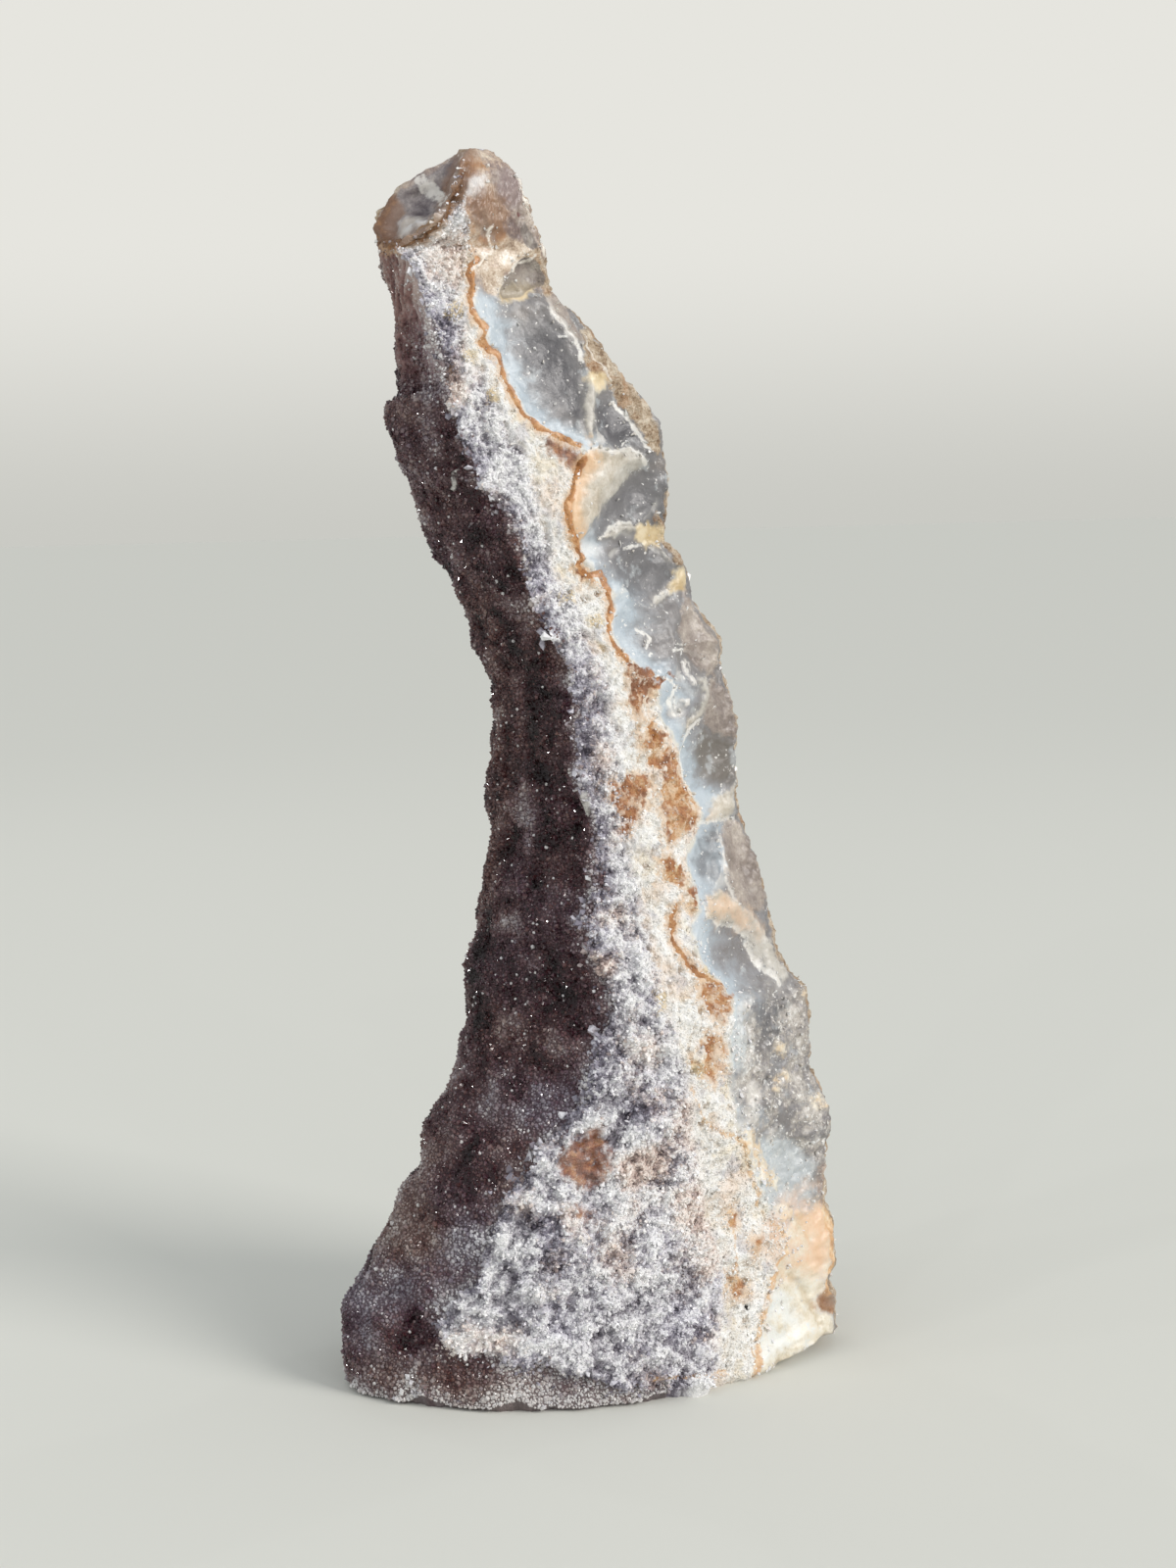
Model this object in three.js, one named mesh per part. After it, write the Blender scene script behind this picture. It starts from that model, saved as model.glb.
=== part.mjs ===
// Amethyst specimen: a slab of geode wall standing on its broken end.
// Millimetres, +Z up. The druse (the old cavity side) faces left and front, the brown rind
// (the outside of the nodule) faces right and back, and the two broken sides, where the layers
// show, face front-right and back. It is one stone: crystals, quartz, chalcedony and rind grew
// together, so it is one closed solid.
import * as THREE from 'three';
import { mergeVertices } from 'three/addons/utils/BufferGeometryUtils.js';

// ---- driving dimensions ---------------------------------------------------------------
const TOTAL_HEIGHT = 300;      // resting face to the tip of the knob
const FOOT_CHAMFER = 1.6;      // how far the flat resting face stops short of the outer edge
const FOOT_RISE = 1.0;         // height of the first outline above the resting face
const CONTACT_X_MAX = 40;      // the stone touches down only as far right as this
const RIGHT_LIFT = 3.0;        // the right end of the foot stands this far off the surface
const LIFT_RUN = 18;           // length over which the underside rises to that
const LIFT_FADE = 25;          // height over which the lift dies out
const LUMP_DRUSE = 0.9;        // grape-like swelling of the druse
const LUMP_BROKEN = 0.45;      // unevenness of the broken faces
const CENTRE_X = -1.768;            // shift that puts the origin under the middle of the box
const CENTRE_Y = -2.746;

// Columns round one outline: front broken face, rind edge, rind, back face in two parts,
// back of the druse, and the druse in two parts.
const COLUMNS = [16, 3, 3, 5, 6, 4, 4, 4];

// Outlines from the foot up. Each row is one height z and, at that height, the left edge of
// the druse (xL, yL), the ridge between druse and broken face (xR, yR), the edge between broken
// face and rind (xC, yC), how far the broken face bulges forward, and y of the back face.
const STATIONS = [
  [0, -61.9, -20.4, -46.2, -37.5, 58.5, -7.6, 19, 38],
  [5, -62.9, -20, -45.1, -37.3, 58.8, -6.8, 18.5, 37.8],
  [10, -63.8, -19.7, -43.6, -37, 59, -5.2, 18, 37.5],
  [15, -63.4, -18.4, -41.5, -36.8, 57.8, -4.1, 17.2, 37.2],
  [20, -62.2, -16.9, -38.8, -36.5, 59.4, -3, 16.5, 37],
  [25, -58.7, -15.4, -34.9, -36.4, 59.5, -2, 15.8, 36.7],
  [30, -56, -14, -31.1, -36.3, 59.2, -1.1, 15, 36.4],
  [35, -53.3, -12.5, -27.6, -36.1, 57.4, -0.1, 14.5, 36.1],
  [40, -51.2, -11, -26.4, -35.5, 57.2, 0.9, 14, 35.8],
  [45, -49, -9.5, -25.2, -34.9, 58.3, 1.8, 13.5, 35.4],
  [50, -44.6, -8.2, -23.7, -34.2, 58.1, 2.4, 13, 35.1],
  [55, -43.5, -7.1, -18.1, -33.4, 60, 3, 12.5, 34.8],
  [60, -42.4, -6, -13.7, -32.6, 59.1, 3.6, 12, 34.5],
  [65, -39.5, -5, -9.3, -31.7, 57.3, 4.2, 11.4, 34.4],
  [70, -36.5, -3.9, -4.8, -30.8, 54.5, 4.8, 10.8, 34.2],
  [75, -33.5, -3, -1.6, -29.9, 54.7, 5.4, 10.2, 34.1],
  [80, -32.6, -2.2, -0.6, -29, 55, 6, 9.6, 34],
  [85, -31.7, -1.3, 1, -28.2, 54.6, 6.6, 9, 33.9],
  [90, -31, -0.5, 3.5, -27.3, 54.1, 7.2, 8.6, 33.8],
  [95, -30.8, 0.3, 3.2, -26.4, 49.5, 7.7, 8.2, 33.6],
  [100, -30.7, 1, 1.9, -25.8, 47.1, 8.1, 7.8, 33.5],
  [105, -29.3, 1.7, 0.6, -25.1, 45.9, 8.6, 7.4, 33.2],
  [110, -28.2, 2.3, -0.7, -24.6, 45, 9, 7, 32.9],
  [115, -27.1, 3, -1.8, -24.2, 44.1, 9.4, 6.8, 32.7],
  [120, -26.3, 3.4, 0.2, -23.7, 43.1, 9.7, 6.5, 32.4],
  [125, -25.6, 3.9, 1, -23.2, 41.6, 9.8, 6.2, 32.1],
  [130, -24.5, 4.2, 1.3, -22.7, 40, 9.8, 6, 31.8],
  [135, -23.7, 4.4, 2.1, -22.3, 37.8, 9.8, 5.8, 31.6],
  [140, -25.1, 4.6, 1.7, -21.8, 37.5, 9.9, 5.5, 31.3],
  [145, -24.8, 4.9, -0, -21.3, 37.6, 9.9, 5.4, 31],
  [150, -23.7, 5.1, -1, -20.9, 37.8, 10, 5.2, 30.6],
  [155, -23.4, 5.4, -1.6, -20.4, 38.1, 10, 5.1, 30.1],
  [160, -22.8, 5.4, -1.9, -20.1, 37, 9.7, 5, 29.7],
  [165, -21.8, 5.3, -2.2, -19.9, 35.8, 9.4, 4.9, 29.2],
  [170, -22, 5.2, -2.6, -19.9, 34.5, 9.1, 4.8, 28.8],
  [175, -24.5, 4.9, -3.1, -19.9, 33.7, 8.8, 4.6, 28.3],
  [180, -27.6, 4.6, -6.6, -20, 34, 8.4, 4.5, 27.9],
  [185, -27, 4.2, -8, -20.1, 30, 8.1, 4.5, 27.4],
  [190, -29.4, 3.9, -10.2, -20.3, 27.3, 7.8, 4.4, 27],
  [195, -32, 3.5, -13, -20.4, 26.4, 7.4, 4.3, 26.3],
  [200, -33.9, 3, -14.5, -20.5, 24.9, 6.9, 4.3, 25.6],
  [205, -36.8, 2.5, -15.5, -20.7, 20.8, 6.4, 4.2, 24.9],
  [210, -38.9, 2, -16.8, -20.8, 20.8, 5.8, 4.2, 24.2],
  [215, -39.7, 1.4, -18.4, -20.9, 21.5, 5.3, 4.2, 23.6],
  [220, -40.4, 0.9, -22.3, -21.1, 21.8, 4.7, 4.1, 22.9],
  [225, -42.4, 0.3, -24.6, -21.4, 20.7, 4.1, 4, 22.2],
  [230, -45, -0.4, -28.1, -21.8, 20.4, 3.5, 4, 21.5],
  [232, -45.6, -0.6, -28.1, -21.9, 20.3, 3.2, 4, 21.1],
  [235, -46.4, -1, -28.3, -22.1, 19.3, 2.8, 3.9, 20.6],
  [236, -46.6, -1.1, -28.7, -22.2, 18.6, 2.7, 3.9, 20.4],
  [238, -47, -1.4, -29.4, -22.3, 17.1, 2.5, 3.8, 20],
  [240, -46.7, -1.6, -30.2, -22.4, 15.6, 2.2, 3.8, 19.7],
  [241.5, -44.5, -1.8, -30.7, -22.3, 14.5, 2, 3.7, 19.4],
  [243, -42.4, -2, -31.1, -22.1, 13.2, 1.8, 3.7, 19.1],
  [245, -42.7, -2.3, -31.2, -21.7, 11.5, 1.6, 3.6, 18.8],
  [248, -43.1, -2.7, -31, -21, 9.1, 1.2, 3.5, 18.2],
  [250, -43.4, -2.9, -31.5, -20.8, 7.6, 1, 3.5, 17.8],
  [254, -43.3, -3.4, -32.6, -20.6, 4.7, 0.5, 3.4, 17.1],
  [258, -43.2, -3.9, -33.6, -20.3, 1.6, -0, 3.3, 16.4],
  [262, -43.6, -4.5, -34.9, -20, -1.7, -0.5, 3.2, 15.6],
  [266, -44.3, -4.8, -36.4, -19.6, -6.2, -1, 3.1, 14.7],
  [270, -45.4, -4.8, -37.7, -18.7, -7.4, -1.4, 3, 13.8],
  [274, -46.5, -4.7, -39.8, -17.8, -7.2, -1.8, 2.8, 12.8],
  [276, -47.1, -4.6, -42.6, -17.3, -7.5, -2, 2.7, 12.4],
  [278, -47.6, -4.5, -37.8, -18.4, -8.2, -2.2, 2.6, 11.9],
  [280, -48.2, -4.4, -34.1, -19, -8.9, -2.5, 2.5, 11.5],
  [281.5, -48.3, -4.2, -32.4, -19.5, -9.3, -2.7, 2.4, 10.8],
  [282, -48.2, -4, -32, -19.4, -9.5, -2.8, 2.4, 10.6],
  [283, -48, -3.7, -31.3, -19.1, -9.8, -3, 2.4, 10.1],
  [285, -46.9, -3.1, -29.7, -18.6, -10.4, -3.3, 2.2, 9.2],
  [286, -46.3, -2.8, -29.3, -18.3, -10.8, -3.4, 2.2, 8.8],
  [288, -45, -2.4, -28.3, -17.8, -11.4, -3.6, 2.1, 7.8],
  [290, -43.7, -1.9, -27.6, -16.7, -12.1, -3.7, 2, 6.9],
  [291, -43.1, -1.7, -27.3, -16.1, -12.5, -3.7, 1.9, 6.5],
  [294, -37.4, -1.8, -26.5, -14.1, -13.7, -3.8, 1.4, 4.2],
  [296.5, -32.8, -1.9, -25.7, -12.2, -15.7, -3.9, 1.1, 2.1],
  [298, -30.2, -1.9, -25, -10.4, -18, -3.9, 0.9, 0.8],
  [298.5, -29.2, -1.9, -24.7, -9.8, -18.6, -3.9, 0.8, 0.3],
  [300, -26.4, -2, -24.2, -8.7, -20.4, -4, 0.6, -1],];

// How far the middle of the druse stands proud of the straight line from its left edge to the
// ridge; negative inside the hollow pocket in the knob. Rows of [z, offset].
const DRUSE_SWELL = [
  [0, 4], [40, 4], [100, 3], [180, 2.2], [240, 1.8], [262, 1.5], [274, 1.0],
  [282, -3.0], [290, -4.0], [296, -1.5], [300, 0.1],
];

// Shell-shaped flakes broken out of the front face, in front elevation: centre x and z, the two
// half lengths, turn in degrees anticlockwise, and depth.
const FLAKES = [
  [-10.4, 248.7, 24.5, 10.4, -59, 3.4], [10.2, 234.9, 11.0, 6.0, -62, 2.0],
  [11.6, 216.1, 11.0, 6.5, 52, 2.4], [16.4, 196.1, 9.6, 6.3, -48, 2.0],
  [14.0, 182.1, 11.9, 7.6, -60, 1.8], [28.1, 180.0, 5.8, 10.2, -8, 1.9],
  [34.3, 167.3, 3.7, 9.3, 8, 1.5], [30.3, 150.9, 8.3, 14.6, -4, 3.4],
  [27.8, 128.1, 5.3, 10.6, 4, 2.0], [38.3, 127.0, 5.2, 11.3, 14, 1.8],
  [35.9, 102.4, 12.2, 8.8, -48, 3.0], [45.4, 83.4, 8.3, 10.3, 0, 1.5],
  [46.6, 53.0, 8.8, 14.2, 6, 2.0], [47.3, 25.0, 9.8, 12.7, 10, 1.6],
  [44.5, 10.2, 10.2, 8.3, 0, 1.5], [58.3, 11.0, 2.7, 3.7, 0, 2.4],
  [-10.9, 270.3, 4.3, 5.5, 30, 1.6],
];

// The same on the broken back face, in elevation.
const BACK_FLAKES = [
  [8, 205, 26, 13, 60, 3.5], [-14, 172, 18, 11, 75, 2.8], [14, 150, 20, 16, 20, 3.2],
  [-2, 108, 26, 18, -30, 4.0], [30, 92, 20, 15, 60, 3.0], [-30, 58, 24, 16, 50, 3.5],
  [18, 42, 30, 18, 10, 4.0], [-24, 225, 18, 10, 80, 2.6], [-20, 262, 14, 9, 70, 2.0],
];

const LEDGE_Z = 242;           // step in the druse below the knob
const LEDGE_RECESS = 1.3;      // how far the druse above the step is set back

// ---- helpers --------------------------------------------------------------------------
const lerp = THREE.MathUtils.lerp;
const smooth = (a, b, x) => {
  const t = THREE.MathUtils.clamp((x - a) / (b - a), 0, 1);
  return t * t * (3 - 2 * t);
};

// Straight-line lookup in a table whose first column rises.
function lookup(table, z, column) {
  if (z <= table[0][0]) return table[0][column];
  for (let i = 1; i < table.length; i++) {
    if (z <= table[i][0]) {
      const t = (z - table[i - 1][0]) / (table[i][0] - table[i - 1][0]);
      return lerp(table[i - 1][column], table[i][column], t);
    }
  }
  return table[table.length - 1][column];
}

// A table column averaged over a short height, so that the back keeps only the slow changes.
function slow(z, column) {
  const r = Math.min(4.5, 0.175 * (TOTAL_HEIGHT - z));
  let sum = 0;
  for (let k = -2; k <= 2; k++) sum += lookup(STATIONS, z + k * r, column);
  return sum / 5;
}

// How an edge of the back wanders in and out on the way up.
function wander(z, phase) {
  const fade = smooth(0, 10, z) * (1 - smooth(268, 294, z));
  return fade * (1.9 * Math.sin(0.083 * z + phase) + 1.0 * Math.sin(0.197 * z + 2.3 * phase + 1) +
    0.55 * Math.sin(0.43 * z + 3.1 * phase + 2));
}

const catmull = (p0, p1, p2, p3, t) =>
  0.5 * (2 * p1 + (p2 - p0) * t + (2 * p0 - 5 * p1 + 4 * p2 - p3) * t * t +
    (3 * p1 - p0 - 3 * p2 + p3) * t * t * t);

// One outline, anticlockwise seen from above, starting on the ridge.
function outline(z) {
  const [xL, yL, xR, yR, xC, yC, bulge, yBack] =
    [1, 2, 3, 4, 5, 6, 7, 8].map((c) => lookup(STATIONS, z, c));
  const [xLs, yLs, xCs, yCs] = [1, 2, 5, 6].map((c) => slow(z, c));
  const width = xCs - xLs;
  const yk = Math.max(yBack, yCs + 0.5);
  const ridge = [xR, yR], left = [xL, yL], edge = [xC, yC];
  const rindEdge = [xC - 0.01 * width + 0.2 * wander(z, 5.0), yC + 0.38 * (yk - yC)];
  const rindBack = [xCs - 0.16 * width + 0.8 * wander(z, 3.1), yCs + 0.78 * (yk - yCs) + 0.8 * wander(z, 4.2)];
  const back = [xLs + 0.56 * width + 0.8 * wander(z, 0.5), yk + wander(z, 1.7)];
  const druseBack = [xLs + 0.10 * width + 0.5 * wander(z, 2.6), yLs + 0.62 * (yk - yLs) + 0.9 * wander(z, 0.9)];
  // outward normal of the line from the left edge to the ridge
  const tx = xR - xL, ty = yR - yL, length = Math.hypot(tx, ty) + 1e-6;
  let nx = ty / length, ny = -tx / length;
  if (nx + ny > 0) { nx = -nx; ny = -ny; }
  const swell = Math.min(lookup(DRUSE_SWELL, z, 1), 0.25 * length);
  const druse = [0.5 * (xL + xR) + nx * swell, 0.5 * (yL + yR) + ny * swell];

  const points = [];
  for (let i = 0; i < COLUMNS[0]; i++) {
    const f = i / COLUMNS[0];
    points.push({ x: lerp(xR, xC, f), y: lerp(yR, yC, f) - 4 * bulge * f * (1 - f), f });
  }
  const before = [edge[0] + 0.5 * (edge[0] - rindEdge[0]), edge[1] + 0.5 * (edge[1] - rindEdge[1])];
  const after = [ridge[0] + 0.5 * (ridge[0] - druse[0]), ridge[1] + 0.5 * (ridge[1] - druse[1])];
  const knots = [before, edge, rindEdge, rindBack, back, druseBack, left, druse, ridge, after];
  for (let k = 0; k < 7; k++) {
    for (let i = 0; i < COLUMNS[k + 1]; i++) {
      const t = i / COLUMNS[k + 1];
      points.push({
        x: catmull(knots[k][0], knots[k + 1][0], knots[k + 2][0], knots[k + 3][0], t),
        y: catmull(knots[k][1], knots[k + 1][1], knots[k + 2][1], knots[k + 3][1], t),
        f: -1,
        segment: k,
        t,
      });
    }
  }
  return points;
}

// Slow swelling of the surface, from a few crossed waves 12 to 30 mm long.
function lumps(x, y, z) {
  return 0.40 * Math.sin(0.31 * x + 0.17 * y + 0.23 * z + 0.7) +
    0.35 * Math.sin(-0.22 * x + 0.36 * y + 0.29 * z + 2.1) +
    0.30 * Math.sin(0.27 * x - 0.33 * y + 0.41 * z + 4.0) +
    0.25 * Math.sin(0.44 * x + 0.38 * y - 0.35 * z + 5.2);
}

// Depth of the deepest flake at a place on a face.
function flakeDepth(flakes, x, z) {
  let depth = 0;
  for (const [cx, cz, a, b, turn, d] of flakes) {
    const c = Math.cos(THREE.MathUtils.degToRad(turn)), s = Math.sin(THREE.MathUtils.degToRad(turn));
    const u = ((x - cx) * c + (z - cz) * s) / a, v = (-(x - cx) * s + (z - cz) * c) / b;
    depth = Math.max(depth, d * (1 - u * u - v * v));
  }
  return depth;
}

// ---- the stone ------------------------------------------------------------------------
const heights = [];
for (let i = 0; i < 46; i++) heights.push(FOOT_RISE + (i * (236 - FOOT_RISE)) / 45);
heights.push(238.5, 240.5, 242.5, 245, 249, 254, 259, 264, 269, 273, 277, 280, 283, 286, 289, 292, 295, 297.5, 299.4);

const grid = heights.map(outline);
const count = grid[0].length;
const placed = grid.map((row, r) => row.map((p, c) => {
  const z = heights[r];
  const prev = row[(c + count - 1) % count], next = row[(c + 1) % count];
  const below = grid[Math.max(r - 1, 0)][c], above = grid[Math.min(r + 1, grid.length - 1)][c];
  const dz = heights[Math.min(r + 1, grid.length - 1)] - heights[Math.max(r - 1, 0)];
  const along = new THREE.Vector3(next.x - prev.x, next.y - prev.y, 0);
  const up = new THREE.Vector3(above.x - below.x, above.y - below.y, dz);
  const normal = along.cross(up).normalize();
  const onFront = p.f >= 0;
  const onDruse = p.segment >= 4;
  // the swelling dies out at the foot and the tip, and at the edges whose line is given
  let w = smooth(0, 12, z) * (1 - smooth(272, 296, z));
  if (onFront) w *= smooth(0, 0.12, p.f) * (1 - smooth(0.86, 1, p.f));
  let push = w * (onDruse ? LUMP_DRUSE : LUMP_BROKEN) * lumps(p.x, p.y, z);
  if (p.segment === 0) push *= 0.3;
  if (onFront) push -= flakeDepth(FLAKES, p.x, z) * smooth(0, 0.1, p.f) * (1 - smooth(0.88, 1, p.f)) * smooth(2, 8, z);
  const onBack = [0, smooth(0.3, 1, p.t), 1, 1, 1 - smooth(0, 0.7, p.t), 0, 0][p.segment] ?? 0;
  push -= onBack * flakeDepth(BACK_FLAKES, p.x, z) * smooth(2, 8, z);
  const onLedge = [0, 0, 0, 0, 0, smooth(0, 1, p.t), 1 - smooth(0.3, 1, p.t)][p.segment] ?? 0;
  push -= onLedge * LEDGE_RECESS * smooth(LEDGE_Z - 0.5, LEDGE_Z + 1.5, z) * (1 - smooth(LEDGE_Z + 8, LEDGE_Z + 24, z));
  const q = new THREE.Vector3(p.x, p.y, z).addScaledVector(normal, push);
  q.z += RIGHT_LIFT * smooth(0, LIFT_RUN, q.x - CONTACT_X_MAX) * Math.max(0, 1 - z / LIFT_FADE);
  return q;
}));

// The flat resting face: the first outline drawn in, and cut short where the right end lifts.
const foot = placed[0].map((p) => {
  const r = Math.hypot(p.x, p.y), k = (r - FOOT_CHAMFER) / r;
  return new THREE.Vector3(Math.min(p.x * k, CONTACT_X_MAX), p.y * k, 0);
});
const rings = [foot, ...placed];

const position = [];
const triangle = (a, b, c) => position.push(a.x, a.y, a.z, b.x, b.y, b.z, c.x, c.y, c.z);
for (let r = 0; r + 1 < rings.length; r++) {
  for (let c = 0; c < count; c++) {
    const d = (c + 1) % count;
    triangle(rings[r][c], rings[r][d], rings[r + 1][d]);
    triangle(rings[r][c], rings[r + 1][d], rings[r + 1][c]);
  }
}
const middle = (ring) => ring.reduce((s, p) => s.add(p), new THREE.Vector3()).divideScalar(ring.length);
const under = new THREE.Vector3(-4, -2, 0);
const top = rings[rings.length - 1];
const tip = middle(top);
tip.z = TOTAL_HEIGHT;
for (let c = 0; c < count; c++) {
  const d = (c + 1) % count;
  triangle(foot[d], foot[c], under);
  triangle(top[c], top[d], tip);
}

let geometry = new THREE.BufferGeometry();
geometry.setAttribute('position', new THREE.Float32BufferAttribute(position, 3));
geometry = mergeVertices(geometry, 1e-4);
geometry.translate(-CENTRE_X, -CENTRE_Y, 0);
geometry.computeVertexNormals();

const stone = new THREE.MeshStandardMaterial({ color: 0x8d7f8c, roughness: 0.55, metalness: 0 });
const amethyst = new THREE.Mesh(geometry, stone);
amethyst.name = 'amethyst_specimen';

const specimen = new THREE.Group();
specimen.add(amethyst);
export default specimen;
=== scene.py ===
"""Looks of a standing piece of amethyst geode wall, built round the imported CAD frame.

The stone is one dense mesh lofted from the same outlines as the CAD solid, with the broken
surfaces, flakes and layers worked into it. The druse and the sugary quartz are thousands of
small faceted crystals in joined meshes. Lengths here are in millimetres until a mesh is made.
"""

import math

import bpy
import numpy as np
from mathutils import Matrix


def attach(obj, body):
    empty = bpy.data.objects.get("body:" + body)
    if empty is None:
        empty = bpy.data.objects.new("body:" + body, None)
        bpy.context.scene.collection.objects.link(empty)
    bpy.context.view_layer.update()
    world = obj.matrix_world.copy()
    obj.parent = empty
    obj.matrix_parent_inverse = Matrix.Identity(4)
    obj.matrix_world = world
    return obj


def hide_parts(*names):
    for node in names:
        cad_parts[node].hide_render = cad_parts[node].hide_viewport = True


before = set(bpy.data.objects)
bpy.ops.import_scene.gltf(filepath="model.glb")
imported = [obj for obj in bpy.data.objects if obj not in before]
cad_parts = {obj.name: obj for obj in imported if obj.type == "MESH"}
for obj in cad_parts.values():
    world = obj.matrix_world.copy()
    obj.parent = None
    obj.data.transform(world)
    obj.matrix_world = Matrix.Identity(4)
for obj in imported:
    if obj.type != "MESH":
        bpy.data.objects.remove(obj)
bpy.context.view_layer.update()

NODE = "amethyst_specimen"

# ---- the outlines, as in the CAD ------------------------------------------------------
TOTAL_HEIGHT = 300.0
FOOT_CHAMFER = 1.6
FOOT_RISE = 1.0
CONTACT_X_MAX = 40.0
RIGHT_LIFT = 3.0
LIFT_RUN = 18.0
LIFT_FADE = 25.0
LUMP_DRUSE = 0.9
LUMP_BROKEN = 0.45
CENTRE = np.array([-1.768, -2.746, 0.0])
LEDGE_Z = 242.0
LEDGE_RECESS = 1.3

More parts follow.
